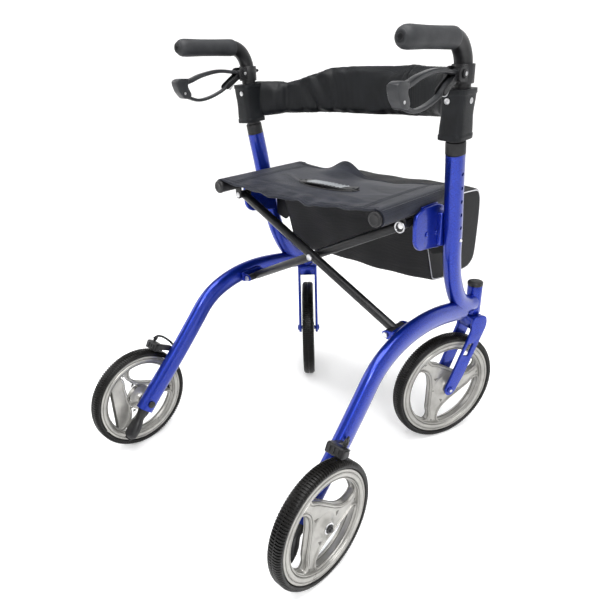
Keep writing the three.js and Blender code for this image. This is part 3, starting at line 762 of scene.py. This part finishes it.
def add_brace_bracket(side):
    arm_y = ARM_Y["a"] if side == "right" else ARM_Y["b"]
    bracket = Shell()
    base = rounded([(arm_y - 31, 323), (arm_y + 31, 323), (arm_y + 31, 347), (arm_y - 31, 347)], 5)
    slab(bracket, base, [], 2.6, 0.8, in_side_plane(226.5))
    ear = rounded([(228, 326), (228, 344), (212, 344), (201, 340), (201, 330), (212, 326)], 5)
    for end in (-1, 1):
        slab(bracket, ear, [], 2, 0.7, in_cross_plane(arm_y + end * 27))
    bracket.side_piece(side, "brace_bracket", [BLUE], "frame", "lower_bracket")


for side_name in SIDES:
    add_fork(side_name)
    add_tubes(side_name)
    add_pedal(side_name)
    add_collar_ring(side_name)
    add_saddle(side_name)
    add_brace_bracket(side_name)


# ---------------------------------------------------------------- rear brakes

BRAKE = (275, 50, 226)
BRAKE_TILT = 0.48


def brake_place(x, forward, up):
    """The point forward along, and up from, the tilted brake's middle."""
    c, s = cos(BRAKE_TILT), sin(BRAKE_TILT)
    return (x, BRAKE[1] + forward * c + up * s, BRAKE[2] - forward * s + up * c)


def in_brake_plane(x):
    """Places a slab drawn along and across the tilted brake, at x."""
    return lambda u, v, w: brake_place(x + w, u, v)


def add_brake_cover(side):
    cover = Shell()
    hood = rounded([(-8.5, -6.4), (-8.5, 9), (-6, 12), (8.5, 12), (8.5, 7), (-4.2, 7), (-4.2, -6.2)], 2, 4)
    slab(cover, hood, [], 18.5, 1.4, in_brake_plane(272.5))
    cheek = rounded([(-8.5, -6), (-8.5, 9), (-6, 12), (8.5, 12), (8.5, -1), (4, -3), (-2, -6)], 2, 4)
    for x in (256, 289):
        slab(cover, cheek, [], 2, 0.8, in_brake_plane(x))
    mount = rounded([(-2, -1), (34, -1), (34, 11), (-2, 11)], 2, 3)
    slab(cover, mount, [], 5.5, 1.2, in_brake_plane(258))
    for x in (263, 272, 281):
        rod(cover, brake_place(x, -9.1, -2), brake_place(x, -9.1, 8), 1.2, 10, 0.4)
    cover.side_piece(side, "brake_cover", [BLACK], "frame", "brake_housing")


def add_brake_shoe(side):
    """The shoe with the steel arm that carries it."""
    strap = Shell()
    slab(strap, rounded([(-3.5, 1.5), (26.5, 1.5), (26.5, 5.5), (-3.5, 5.5)], 1), [], 7.5, 0.6,
         in_brake_plane(BRAKE[0]))
    rod(strap, brake_place(BRAKE[0], 20, 5), brake_place(BRAKE[0], 20, 7.4), 4, 6, 0.6)
    strap.side_piece(side, "brake_arm_strap", [STEEL], "shoe_carrier", "brake_arm")

    pad = Shell()
    shape = [(-2.5, 1.2)]
    for k in range(9):
        forward = -2.5 + 3 * k
        shape.append((forward, sqrt((REAR_RADIUS + 3) ** 2 - (forward - 7.4) ** 2) - 122.6))
    shape.append((21.5, 1.2))
    slab(pad, shape, [], 9.5, 0.8, in_brake_plane(BRAKE[0]))
    pad.side_piece(side, "brake_shoe_pad", [RUBBER], "shoe", "brake_shoe")


def add_brake_cable(side):
    cable = Shell()
    route = smooth_line([
        (281, 57, 232), (281, 65.5, 243), (276, 76, 241), (266, 88, 228), (257, 95, 212)], 40)
    sweep(cable, route, oval(2.6, 2.6, 14))
    rod(cable, route[3], route[9], 4.2, 18)
    rod(cable, route[5], route[7], 5.4, 6, 0.5)
    rod(cable, route[-1], route[-5], 4.4, 18)
    cable.side_piece(side, "brake_cable_run", [BLACK], "frame", "brake_cable")


# ---------------------------------------------------------------- handles

SPRING_TURNS = 6
SPRING_STEPS = SPRING_TURNS * 16


def from_pivot(points):
    """Points of the lever's middle plane, given as (y, z) from its pivot."""
    x, y, z = LEVER_PIVOT
    return [(x, y + forward, z + up) for forward, up in points]


def plate_from_pivot(corners, radius):
    """A rounded outline in the side plane, given as (y, z) from the lever's pivot."""
    return rounded([(y, z) for _, y, z in from_pivot(corners)], radius)


def add_stem(side):
    """The handle's bent tube, with the thinner tube that slides in the upright."""
    tube = Shell()
    sweep(tube, smooth_line(HANDLE_LINE, 70), oval(15, 15, 36))
    rod(tube, SLIDE_TOP - 176 * SLIDE_DIRECTION, SLIDE_TOP + 20 * SLIDE_DIRECTION, 12.5, 32)
    rod(tube, (265.6, 334, 842.6), (265.6, 215, 844.6), 11)
    for end in (-1, 1):
        rod(tube, (265 + end * 14.2, 380, 790), (265 + end * 16.6, 380, 790), 6, 24, 1.2)
        hex_head(tube, (265 + end * 16.4, 380, 790), (end, 0, 0), 3.4, 1.4)
    tube.side_piece(side, "handle_stem", [BLACK_PAINT], "handle", "handle_tube")


def add_button(side):
    button = Shell()
    x, y, z = hole_place(0)
    profile = [(0, 3), (11.5, 3), (12.6, 2.6), (13.3, 1.6), (13.6, 0.4)]
    revolve(button, profile, 24, (x + 4.4, y, z), (1, 0, 0))
    button.side_piece(side, "button_pin", [STEEL], "button", "height_button")


GRIP_START = (265.6, 197.5, 844.9)
GRIP_TILT = 0.017


def add_grip(side):
    """The rubber grip, with fine rings on its end."""
    grip = Shell()
    profile = [
        (0, 1.5), (0.2, 5), (1.2, 9), (3.6, 12.4), (7, 14.8), (12, 16.4), (20, 17), (60, 16.2), (100, 16.4),
        (132, 17), (138, 17), (141, 16.7), (143.5, 15.8), (144, 14.5),
    ]
    axis = Vector((0, cos(GRIP_TILT), -sin(GRIP_TILT)))
    revolve(grip, profile, 48, GRIP_START, axis)
    for k in range(3):
        ring = [(-0.25, 4.5 + 2.6 * k), (-0.6 + 0.35 * k, 5.1 + 2.6 * k), (0.3 + 0.5 * k, 5.8 + 2.6 * k)]
        revolve(grip, ring, 40, GRIP_START, axis)
    grip.side_piece(side, "grip_sleeve", [RUBBER], "handle", "grip")


def add_lever_housing(side):
    """The clamp round the stem with the two cheeks that hold the lever."""
    px, _, pz = LEVER_PIVOT
    housing = Shell()
    revolve(housing, [(-16, 15.4), (-16, 18.4), (-15, 19), (13, 19), (14, 18.4), (14, 15.4)], 40,
            (px - 0.8, 379.5, pz), (0, 0, 1), closed=True)
    cheek = plate_from_pivot([(-12, -12), (18, -14), (18, 12), (-6, 12), (-13, 4)], 6)
    for end in (-1, 1):
        slab(housing, cheek, [], 2.5, 1, in_side_plane(px + end * 12))
    rod(housing, (px, 396, pz + 4), (px, 405, pz + 4), 5, 20, 1)
    rod(housing, (px, 404, pz + 4), (px, 411, pz + 4), 3, 16, 0.6)
    housing.side_piece(side, "lever_housing", [BLACK], "handle", "handle_housing")


def add_cam(side):
    """The pivot bolt with the two link plates."""
    px, py, pz = LEVER_PIVOT
    cam = Shell()
    rod(cam, (px - 17, py, pz), (px + 17, py, pz), 4)
    link = plate_from_pivot([(4, 5), (-4, 6), (-46, -20), (-50, -26), (-45, -31), (-2, -6.5), (4, -5)], 4)
    for end in (-1, 1):
        rod(cam, (px + end * 14.8, py, pz), (px + end * 18, py, pz), 7, 24, 1)
        hex_head(cam, (px + end * 17.4, py, pz), (end, 0, 0), 3.6, 1.2, look=1)
        slab(cam, link, [], 1.1, 0.4, in_side_plane(px + end * 8.1))
    cam.side_piece(side, "lever_pivot_bolt", [BLACK_PAINT, STEEL], "cam", "lever_cam", slot="steel")


def add_lever(side):
    """The brake lever: an upper and a lower bar that meet at the pivot and in the finger pad."""
    px, py, pz = LEVER_PIVOT
    lever = Shell()
    upper = smooth_line(from_pivot([
        (0, 1), (-24, 4), (-52, 7), (-77, 6), (-111, 0), (-137, -8), (-158, -12)]), 44)
    sweep(lever, upper, oval(1, 1, 24, 4), scale=lambda t: (8.4 - 1.6 * sin(pi * t), 3.4 + 1.2 * t))
    lower = smooth_line(from_pivot([
        (-150, -37), (-136, -43), (-117, -47), (-87, -43), (-52, -31), (-30, -16), (-12, -6), (0, -1)]), 44)
    sweep(lever, lower, oval(1, 1, 24, 4), scale=lambda t: (6.3, 2.6 + 0.8 * cos(pi * t)))
    pad = plate_from_pivot([
        (-144, -3), (-166, -2), (-176, -6), (-176, -14), (-171, -28), (-160, -41), (-146, -43), (-141, -34),
        (-149, -18)], 4)
    slab(lever, pad, [], 10, 2, in_side_plane(px))
    for end in (-1, 1):
        rod(lever, (px + end * 9.6, py - 158, pz - 31), (px + end * 10.4, py - 158, pz - 31), 2.6, 20, 0.3,
            look=1)
    rod(lever, (px - 6.5, py, pz), (px + 6.5, py, pz), 7.4, 28, 1)
    lever.side_piece(side, "lever_loop", [LEVER, STEEL], "lever", "brake_lever")


def add_lever_spring(side):
    px, py, pz = LEVER_PIVOT
    spring = Shell()
    coil = []
    for k in range(SPRING_STEPS):
        t = k / (SPRING_STEPS - 1)
        angle = 2 * pi * SPRING_TURNS * t
        middle = Vector((px, py - 20 - 16 * t, pz - 14 - 17 * t))
        coil.append(middle + Vector((5.2 * cos(angle), 3.6 * sin(angle), -3.6 * sin(angle))))
    sweep(spring, coil, oval(0.8, 0.8, 8), hint=(0, 0, 1))
    spring.side_piece(side, "lever_spring", [STEEL], "cam")


# ---------------------------------------------------------------- brace and rails

def add_brace(letter, lower_side):
    """One tube of the cross brace, from the lower pivot on lower_side (1 is right) to the opposite rail."""
    y = ARM_Y[letter]
    lower = Vector((lower_side * FOLD_HALF_SPAN, y, LOWER_PIVOT_Z))
    upper = Vector((-lower_side * FOLD_HALF_SPAN, y, UPPER_PIVOT_Z))
    centre = Vector((0, y, (LOWER_PIVOT_Z + UPPER_PIVOT_Z) / 2))
    forward = Vector((0, 1, 0))
    arm = Shell()
    rod(arm, lower, upper, 9.5, 32)
    rod(arm, lower - 24.5 * forward, lower + 24.5 * forward, 8, 28)
    rod(arm, upper - 11 * forward, upper + 11 * forward, 8, 28)
    rod(arm, upper - 17 * forward, upper + 17 * forward, 4, 20)
    rod(arm, lower - 32 * forward, lower + 32 * forward, 4, 20)
    for end in (-1, 1):
        hex_head(arm, lower + end * 29.4 * forward, end * forward, 6.5, 3.6, look=1)
        rod(arm, upper + end * 16.2 * forward, upper + end * 17.4 * forward, 6, 20, 0.5, look=1)
    washer = 9.4 if letter == "b" else -9.4
    rod(arm, centre + washer * forward, centre + washer * 1.1 * forward, 9, 24, 0.3)
    arm.piece(f"brace_tube_{letter}", [BLACK_PAINT, STEEL], f"arm_{letter}", [f"brace_arm_{letter}"])


def add_pivot_ring():
    """The bright washer ring behind the right rail's pivot."""
    ring = Shell()
    centre = Vector((FOLD_HALF_SPAN, ARM_Y["b"] - 19.5, UPPER_PIVOT_Z - 2))
    line = smooth_line([centre + Vector((x, 0, z)) for x, z in oval(9.5, 9.5, 12)], 48, closed=True)
    sweep(ring, line, oval(1.5, 1.5, 10), hint=(0, 1, 0), closed=True)
    ring.piece("rail_pivot_ring", [STEEL], "rail_right")


def add_brace_pin():
    z = (LOWER_PIVOT_Z + UPPER_PIVOT_Z) / 2
    pin = Shell()
    rod(pin, (0, ARM_Y["a"] - 13, z), (0, ARM_Y["b"] + 13, z), 4)
    rod(pin, (0, ARM_Y["a"] - 13.6, z), (0, ARM_Y["a"] - 9.6, z), 7, 28, 1.2)
    hex_head(pin, (0, ARM_Y["b"] + 9.6, z), (0, 1, 0), 7, 4)
    pin.piece("brace_pivot_bolt", [STEEL], "arm_a", ["brace_pin"])


def add_rail(side):
    """A seat rail with its two pivot ears, and its end caps."""
    y = ARM_Y["b"] if side == "right" else ARM_Y["a"]
    rail = Shell()
    rod(rail, (RAIL_X, 230, RAIL_Z), (RAIL_X, 490, RAIL_Z), RAIL_RADIUS, 40)
    ear = rounded([(201, 563), (217, 563), (219, 542), (216, 532), (206, 531), (201, 540)], 5)
    for end in (-1, 1):
        slab(rail, ear, [], 2, 0.6, in_cross_plane(y + end * 14))
    rail.side_piece(side, "seat_rail_tube", [BLACK_PAINT], "rail", "seat_rail")
    cap = Shell()
    profile = [(0, 2), (0, 9.5), (0.5, 12), (1.6, 13.2), (3, 13.6), (5.7, 13.6)]
    revolve(cap, profile, 40, (RAIL_X, 224, RAIL_Z), (0, 1, 0))
    revolve(cap, [(-0.3, 8.4), (-0.7, 9), (-0.3, 9.8), (0.4, 9.6)], 40, (RAIL_X, 224.2, RAIL_Z), (0, 1, 0))
    profile = [(0, 12), (0, 13.5), (4, 13.5), (5.5, 12.4), (6, 9), (6, 2)]
    revolve(cap, profile, 40, (RAIL_X, 490, RAIL_Z), (0, 1, 0))
    cap.side_piece(side, "rail_end_cap", [BLACK], "rail", "rail_cap")


# ---------------------------------------------------------------- cloth pieces

SEAT_HALF = 205
SEAT_REAR_Y = 232
SEAT_FRONT_Y = 482
SEAT_TOP = RAIL_Z + RAIL_RADIUS + 3.8
SEAT_WRAP = 50
SEAT_ROWS = 70
SEAT_COLUMNS = 61
SEAT_THICKNESS = 3.0
WRAP_OUTSIDE = 16.5
WRAP_INSIDE = 13.4


def bumps(seed, count, width, height):
    """Fixed pseudo-random shallow wrinkles, as (x, y, turn, length, width, height)."""
    order = random.Random(seed)
    return [(
        order.uniform(-170, 170), order.uniform(250, 470), order.uniform(-0.5, 0.5), order.uniform(30, 90),
        order.uniform(0.6, 1.4) * width, order.uniform(-1, 1) * height) for _ in range(count)]


SEAT_WRINKLES = bumps(4, 26, 7, 1.6)


def seat_height(x, y):
    """Height of the sling's top above the rails' tops."""
    across = max(0.0, 1 - (x / SEAT_HALF) ** 2)
    back = max(0.0, (300 - y) / 68)
    front = max(0.0, (y - 400) / 80) ** 1.4
    height = -8 * across - 9 * across * back
    height += front * (-12 * across + 31 * exp(-((x + 62) / 50) ** 2) * across ** 0.3)
    height += across * front * 2.4 * sin(x / 15 + y / 40)
    height += across * back * (1.8 * sin(x / 8) + 1.2 * sin(x / 13 + 1))
    for wx, wy, turn, length, width, depth in SEAT_WRINKLES:
        u = (x - wx) * cos(turn) + (y - wy) * sin(turn)
        v = -(x - wx) * sin(turn) + (y - wy) * cos(turn)
        height += across ** 0.5 * depth * exp(-(v / width) ** 2 - (u / length) ** 2)
    return height


def seat_place(x, y):
    """The point of the sling's upper face at x, with its scalloped rear edge."""
    across = max(0.0, 1 - (x / SEAT_HALF) ** 2)
    edge = max(0.0, 1 - (y - SEAT_REAR_Y) / 40)
    y += edge * (5.0 * cos(x / SEAT_HALF * pi * 3.5) * across + 8 * across)
    return Vector((x, y, SEAT_TOP + seat_height(x, y)))


def rail_place(sign, y, degrees, radius):
    """A point on the cloth wrapped round a rail; 90 degrees is its top and 0 its outside."""
    angle = radians(degrees)
    return Vector((sign * (RAIL_X + radius * cos(angle)), y, RAIL_Z + radius * sin(angle)))


def add_seam(shell, line, up=(0, 0, 1), size=0.55, look=0):
    sweep(shell, line, oval(size, size, 6), hint=up, look=look)


def add_two_faced(shell, upper, lower, columns):
    """A closed cloth sheet between two grids of points, given row by row."""
    rows = len(upper) // columns - 1
    count = len(upper)
    faces = []
    for j in range(rows):
        for i in range(columns - 1):
            a = j * columns + i
            faces.append([a, a + 1, a + columns + 1, a + columns])
            faces.append([count + a, count + a + columns, count + a + columns + 1, count + a + 1])
        for a in (j * columns, j * columns + columns - 1):
            faces.append([a, a + columns, count + a + columns, count + a])
    for i in range(columns - 1):
        for a in (i, rows * columns + i):
            faces.append([a, count + a, count + a + 1, a + 1])
    shell.add(upper + lower, faces)


def add_seat_seams(shell, sign):
    """The two rows of stitching along a rail's pocket."""
    for degrees in (SEAT_WRAP * -0.7, 60):
        add_seam(shell, [
            rail_place(sign, SEAT_REAR_Y + 4 + 242 * k / 30, degrees, WRAP_OUTSIDE + 0.1) for k in range(31)],
            up=(1, 0, 0), look=1)


def add_seat_cloth():
    """The sling and the right rail's pocket are one sheet; the left rail carries its own pocket."""
    down = Vector((0, 0, SEAT_THICKNESS))
    turned = [90 - (90 + SEAT_WRAP) * k / 10 for k in range(11)]
    upper, lower, pocket_upper, pocket_lower = [], [], [], []
    for j in range(SEAT_ROWS + 1):
        y = SEAT_REAR_Y + (SEAT_FRONT_Y - SEAT_REAR_Y) * j / SEAT_ROWS
        pocket_upper += [rail_place(-1, y, degrees, WRAP_OUTSIDE) for degrees in reversed(turned)]
        pocket_lower += [rail_place(-1, y, degrees, WRAP_INSIDE) for degrees in reversed(turned)]
        row = [
            seat_place(-SEAT_HALF + 2 * SEAT_HALF * k / (SEAT_COLUMNS - 1), y) for k in range(SEAT_COLUMNS)]
        pocket_upper.append(row[0])
        pocket_lower.append(row[0] - down)
        upper += row + [rail_place(1, y, degrees, WRAP_OUTSIDE) for degrees in turned]
        lower += [p - down for p in row] + [rail_place(1, y, degrees, WRAP_INSIDE) for degrees in turned]
    seat = Shell()
    add_two_faced(seat, upper, lower, SEAT_COLUMNS + len(turned))
    pocket = Shell()
    add_two_faced(pocket, pocket_upper, pocket_lower, len(turned) + 1)
    add_seat_seams(pocket, -1)
    cloth_piece = seat.piece("seat_cloth", [SEAT_CLOTH], "rail_right", ["seat_sling"], sharp=50)
    pocket.piece("seat_pocket_left", [SEAT_CLOTH, THREAD], "rail_left", sharp=50)
    return cloth_piece


def add_seat_hems():
    """The rolled hems and the stitching of the sling."""
    hem = Shell()
    for y, size in ((SEAT_REAR_Y + 1, 2.6), (SEAT_FRONT_Y - 1, 2.2)):
        roll = [seat_place(-204 + 408 * k / 89, y) - Vector((0, 0, 1.4)) for k in range(90)]
        sweep(hem, roll, oval(size, size, 10), hint=(0, 0, 1))
    for y in (SEAT_REAR_Y + 11, SEAT_FRONT_Y - 10, SEAT_FRONT_Y - 15):
        add_seam(hem, [seat_place(-204 + 408 * k / 89, y) + Vector((0, 0, 0.2)) for k in range(90)], look=1)
    for x in (-176, -168, 168, 176):
        add_seam(hem, [
            seat_place(x, SEAT_REAR_Y + 6 + 236 * k / 40) + Vector((0, 0, 0.2)) for k in range(41)], look=1)
    add_seat_seams(hem, 1)
    return hem.piece("seat_hems", [SEAT_CLOTH, THREAD], "rail_right", sharp=50)


def add_seat():
    cloth_piece = add_seat_cloth()
    hem_piece = add_seat_hems()
    for piece in (cloth_piece, hem_piece):
        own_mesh(piece)


LIFT_HANDLE_Y = 340


def add_lift_handle():
    """A ribbed grip bridging an oval recess in the middle of the seat; the recess is a flat black sheet,
    painted shade for its depth.
    """
    strap = Shell()
    middle = [
        seat_place(-66 + 140 * k / 49, LIFT_HANDLE_Y)
        + Vector((0, -12 * sin(pi * k / 49) + 6, 1.6 + 4.2 * sin(pi * k / 49)))
        for k in range(50)]
    sweep(strap, middle, oval(1, 1, 20, 4), hint=(0, 1, 0),
          scale=lambda t: (12.5 + 3 * abs(2 * t - 1) ** 4, 1.6))
    # The ribs are light grey: a painted highlight along each rib of the dark strap.
    for k in range(10, 41, 3):
        at = middle[k]
        rod(strap, at + Vector((-4, -10.5, 1.6)), at + Vector((4, 10.5, 1.6)), 1.9, 10, 0.4, look=1)
    for k in (2, 47):
        at = middle[k] + Vector((0, 0, 1.6))
        revolve(strap, [(0, 3.4), (0.8, 3.2), (1.2, 2), (1.4, 0.5)], 20, at, (0, 0, 1))
    rim = [
        seat_place(4 + 78 * cos(pi * k / 30), LIFT_HANDLE_Y + 21 * sin(pi * k / 30))
        + Vector((0, -6 * sin(pi * k / 30) ** 2 + 2, 0.2)) for k in range(60)]
    sweep(strap, rim, oval(2.2, 1.6, 10), hint=(0, 0, 1), closed=True)
    # The recess is a flat black sheet on the seat: painted shade standing for its depth.
    recess_shade_sheet = [p + Vector((0, 0, 0.1)) for p in rim]
    strap.add(recess_shade_sheet + [p - Vector((0, 0, 0.6)) for p in recess_shade_sheet], [
        list(range(60)), list(range(119, 59, -1)),
        *[[k, 60 + k, 60 + (k + 1) % 60, (k + 1) % 60] for k in range(60)]], look=2)
    piece = strap.piece("lift_handle_strap", [BLACK, RIB_HIGHLIGHT_GREY, BAG_CLOTH], "rail_right", ["lift_handle"],
                        sharp=40)
    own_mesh(piece)


BAND_LINE = [(258, 386), (238, 405), (222, 424), (180, 458), (110, 490), (50, 502)]
BAND_TOP = [
    (-262, 773), (-200, 773), (-180, 779), (-150, 790), (-110, 802), (-60, 804), (60, 804), (200, 803),
    (262, 801)]
BAND_BOTTOM = [(-262, 696), (0, 696), (110, 699), (180, 704), (222, 709), (238, 712), (262, 716)]
BAND_STEPS = 200


def table_value(table, x):
    """The table's second column at x, between rows of (x, value)."""
    return float(np.interp(x, [row[0] for row in table], [row[1] for row in table]))


def add_backrest():
    """The padded band: its section is a flat oval that swells between the seams."""
    band = Shell()
    front = [(x, y, 0) for x, y in BAND_LINE]
    line = smooth_line(front + [(0, 506, 0)] + [(-x, y, 0) for x, y, _ in reversed(front)], BAND_STEPS)
    section = oval(1, 1, 48, 3.4)
    points = []
    for i, at in enumerate(line):
        tangent = (line[min(i + 1, BAND_STEPS)] - line[max(i - 1, 0)]).normalized()
        outward = Vector((tangent.y, -tangent.x, 0))
        top, bottom = table_value(BAND_TOP, at.x), table_value(BAND_BOTTOM, at.x)
        puff = 9.5 - 5.0 * exp(-((at.x + 206) / 4) ** 2) - 3.5 * exp(-((at.x - 214) / 4) ** 2)
        puff += 3.5 * exp(-((at.x + 226) / 12) ** 2)
        for a, b in section:
            pleat = 1.3 * sin(at.x / 3.1 + a * 2.2) * exp(-((at.x + 222) / 17) ** 2)
            pleat += 0.9 * sin(at.x / 3.4 - a) * exp(-((at.x - 226) / 14) ** 2)
            groove = 1.6 * exp(-((abs(a) - 0.86) / 0.03) ** 2)
            wave = 0.8 * sin(at.x / 23 + 3 * a)
            wave += 2.8 * sin(at.x / 6 + 4 * a) * exp(-((at.x + 140) / 45) ** 2)
            depth = puff + pleat + wave - groove
            height = (top + bottom) / 2 + a * (top - bottom) / 2
            points.append(Vector((at.x, at.y, height)) + outward * b * depth)
    band.add(points, loop_faces(BAND_STEPS + 1, len(section)))
    piece = band.piece("backrest_band", [BACK_CLOTH], "handle_right", ["backrest"], sharp=60)
    swell(piece, 0.006)
    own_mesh(piece)


def sleeve_size(t):
    """Half width and half depth of the sleeve, a little wider at its two hems."""
    hem = 1.0 if 0.1 < t < 0.9 else 1.05
    return ((22 + 0.7 * sin(9 * t)) * hem, (25.5 + 0.8 * cos(7 * t)) * hem)


def add_sleeve(side):
    """The cloth sleeve round the handle that takes the band's end, with its snaps."""
    outer = Shell()
    line = smooth_line([(260.5, 379, 686), (261.5, 377.5, 710), (263, 376, 745), (263.6, 375.4, 767)], 44)
    sweep(outer, line, oval(1, 1, 48, 4.2), hint=(1, 0, 0), scale=sleeve_size)
    outer.side_piece(side, "backrest_sleeve", [BACK_CLOTH], "handle", sharp=60)
    snap = Shell()
    for at, direction in (((285, 378, 748), (1, 0, 0)), ((257, 350, 748), (0, -1, 0))):
        revolve(snap, [(-2, 5.2), (0.8, 5), (1.6, 3.8), (1.2, 2.4), (2, 1)], 24, at, direction)
    snap.side_piece(side, "sleeve_snap", [STEEL], "handle")


SWELL_VOXEL = 0.0045
SWELL_PRESSURE = 4
SWELL_FRAMES = 20


def swell(piece, cap):
    """Fills a padded piece by a short cloth simulation; no point moves further than cap."""
    modifier = piece.modifiers.new("remesh", "REMESH")
    modifier.mode = "VOXEL"
    modifier.voxel_size = SWELL_VOXEL
    mesh = applied(piece)
    for look in piece.data.materials:
        if look.name not in mesh.materials:
            mesh.materials.append(look)
    piece.data = mesh
    rest = [v.co.copy() for v in mesh.vertices]
    cloth_modifier = piece.modifiers.new("cloth", "CLOTH")
    settings = cloth_modifier.settings
    settings.use_pressure = True
    settings.uniform_pressure_force = SWELL_PRESSURE
    settings.effector_weights.gravity = 0
    settings.quality = 4
    scene = bpy.context.scene
    for number in range(1, SWELL_FRAMES + 1):
        scene.frame_set(number)
    result = applied(piece)
    scene.frame_set(1)
    for vertex, start in zip(result.vertices, rest):
        move = vertex.co - start
        if move.length > cap:
            vertex.co = start + move.normalized() * cap
    piece.data = result
    result.shade_smooth()


BAG_FRONT_Y = 632
BAG_HALF = 196
BAG_STATIONS = 64


def bag_place(x, p, shrink=1.0):
    """A point of the bag's outline at x, leaning and sagging as cloth does."""
    centre = Vector((0, 528, 462))
    sag = 1 + 0.012 * sin(x / 38 + p.z / 31) + 0.008 * sin(x / 15 - p.y / 22)
    q = centre + (p - centre) * shrink * sag
    return Vector((x, min(q.y, BAG_FRONT_Y), q.z - 3 * (1 - (x / 200) ** 2) * (q.z < 420)))


def add_bag():
    """The soft bag under the seat, its piping, its flaps and its seams."""
    outline = [
        (402, 546), (409, 500), (424, 450), (440, 396), (448, 383), (480, 376), (540, 371), (590, 368),
        (612, 373), (628, 392), (631, 450), (631, 515), (624, 540), (606, 550), (520, 553),
    ]
    loop = smooth_line([(0, y, z) for y, z in outline], 84, closed=True)
    points = []
    for i in range(BAG_STATIONS + 1):
        t = -1 + 2 * i / BAG_STATIONS
        shrink = 0.93 + 0.07 * (1 - abs(t) ** 12) ** 0.35
        points += [bag_place(BAG_HALF * sin(t * pi / 2), p, shrink) for p in loop]
    bag = Shell()
    bag.add(points, loop_faces(BAG_STATIONS + 1, len(loop)))
    piece = bag.piece("bag_shell", [BAG_CLOTH], "right_frame", ["bag"], sharp=60)

    edge = Shell()
    for sign in (-1, 1):
        line = [bag_place(sign * 194.5, p, 0.965) for p in loop]
        sweep(edge, line, oval(1.8, 1.8, 10), closed=True, look=1)
        flap = [(188, 548), (236, 545), (236, 462), (206, 452), (188, 470)]
        slab(edge, rounded([(sign * x, z) for x, z in flap], 6), [], 1.8, 0.8, in_cross_plane(424), look=2)
    for z in (532, 400):
        line = [bag_place(-190 + 380 * k / 60, Vector((0, 402 + (546 - z) * 0.29, z))) for k in range(61)]
        add_seam(edge, [p - Vector((0, 1.5, 0)) for p in line], up=(0, 1, 0), look=2)
    trim = edge.piece("bag_trim", [THREAD, PIPING, BAG_CLOTH], "right_frame")
    for part in (piece, trim):
        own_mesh(part)


for side_name in SIDES:
    add_brake_cover(side_name)
    add_brake_shoe(side_name)
    add_brake_cable(side_name)
    add_stem(side_name)
    add_button(side_name)
    add_grip(side_name)
    add_lever_housing(side_name)
    add_cam(side_name)
    add_lever(side_name)
    add_lever_spring(side_name)
    add_rail(side_name)
    add_sleeve(side_name)
add_brace("a", 1)
add_brace("b", -1)
add_brace_pin()
add_pivot_ring()
add_seat()
add_lift_handle()
add_backrest()
add_bag()


# ---------------------------------------------------------------- studio

def add_area_light(name, at, towards, size, power):
    data = bpy.data.lights.new(name, "AREA")
    data.shape = "RECTANGLE"
    data.size = size
    data.size_y = size
    data.energy = power
    light = bpy.data.objects.new(name, data)
    light.location = at
    light.rotation_euler = (Vector(towards) - Vector(at)).to_track_quat("-Z", "Y").to_euler()
    bpy.context.collection.objects.link(light)


FLOOR_RADIUS = 4.2
WALL_BEND = 1.2
WALL_TOP = 3.6


def add_studio():
    """A pale round floor that curves up into a wall, lit from above."""
    profile = [(0.001, 0.0), (1.4, 0.0), (2.8, 0.0), (FLOOR_RADIUS, 0.0)]
    for k in range(1, 13):
        angle = pi / 2 * k / 12
        profile.append((FLOOR_RADIUS + WALL_BEND * sin(angle), WALL_BEND - WALL_BEND * cos(angle)))
    profile.append((FLOOR_RADIUS + WALL_BEND, WALL_TOP))
    sides = 96
    points = [
        (radius * cos(2 * pi * k / sides), radius * sin(2 * pi * k / sides), height)
        for radius, height in profile for k in range(sides)]
    uncapped = loop_faces(len(profile), sides)[:-2]
    floor = bpy.data.meshes.new("floor")
    floor.from_pydata(points, [], uncapped)
    floor.shade_smooth()
    material, tree, shader, place = new_material("floor")
    tree.links.new(ramp(tree, noise(tree, place, 2), (0.90, 0.90, 0.90), (0.93, 0.93, 0.93)),
                   shader.inputs["Base Color"])
    white = (1, 1, 1, 1)
    set_inputs(shader, Roughness=0.9, Specular_IOR_Level=0.1, Emission_Color=white, Emission_Strength=0.2)
    floor.materials.append(material)
    stage = bpy.data.objects.new("floor", floor)
    bpy.context.collection.objects.link(stage)
    world = bpy.data.worlds.new("studio")
    world.use_nodes = True
    set_inputs(world.node_tree.nodes["Background"], Color=white, Strength=0.45)
    bpy.context.scene.world = world
    add_area_light("top", (0.3, -0.2, 3.3), (0, 0, 0.4), 2.6, 125)
    add_area_light("key", (1.9, -1.5, 2.5), (0, 0, 0.5), 0.9, 42)
    add_area_light("fill", (-2.4, -1.2, 1.9), (0, 0, 0.4), 1.4, 16)
    bpy.context.scene.view_settings.view_transform = "Standard"


add_studio()
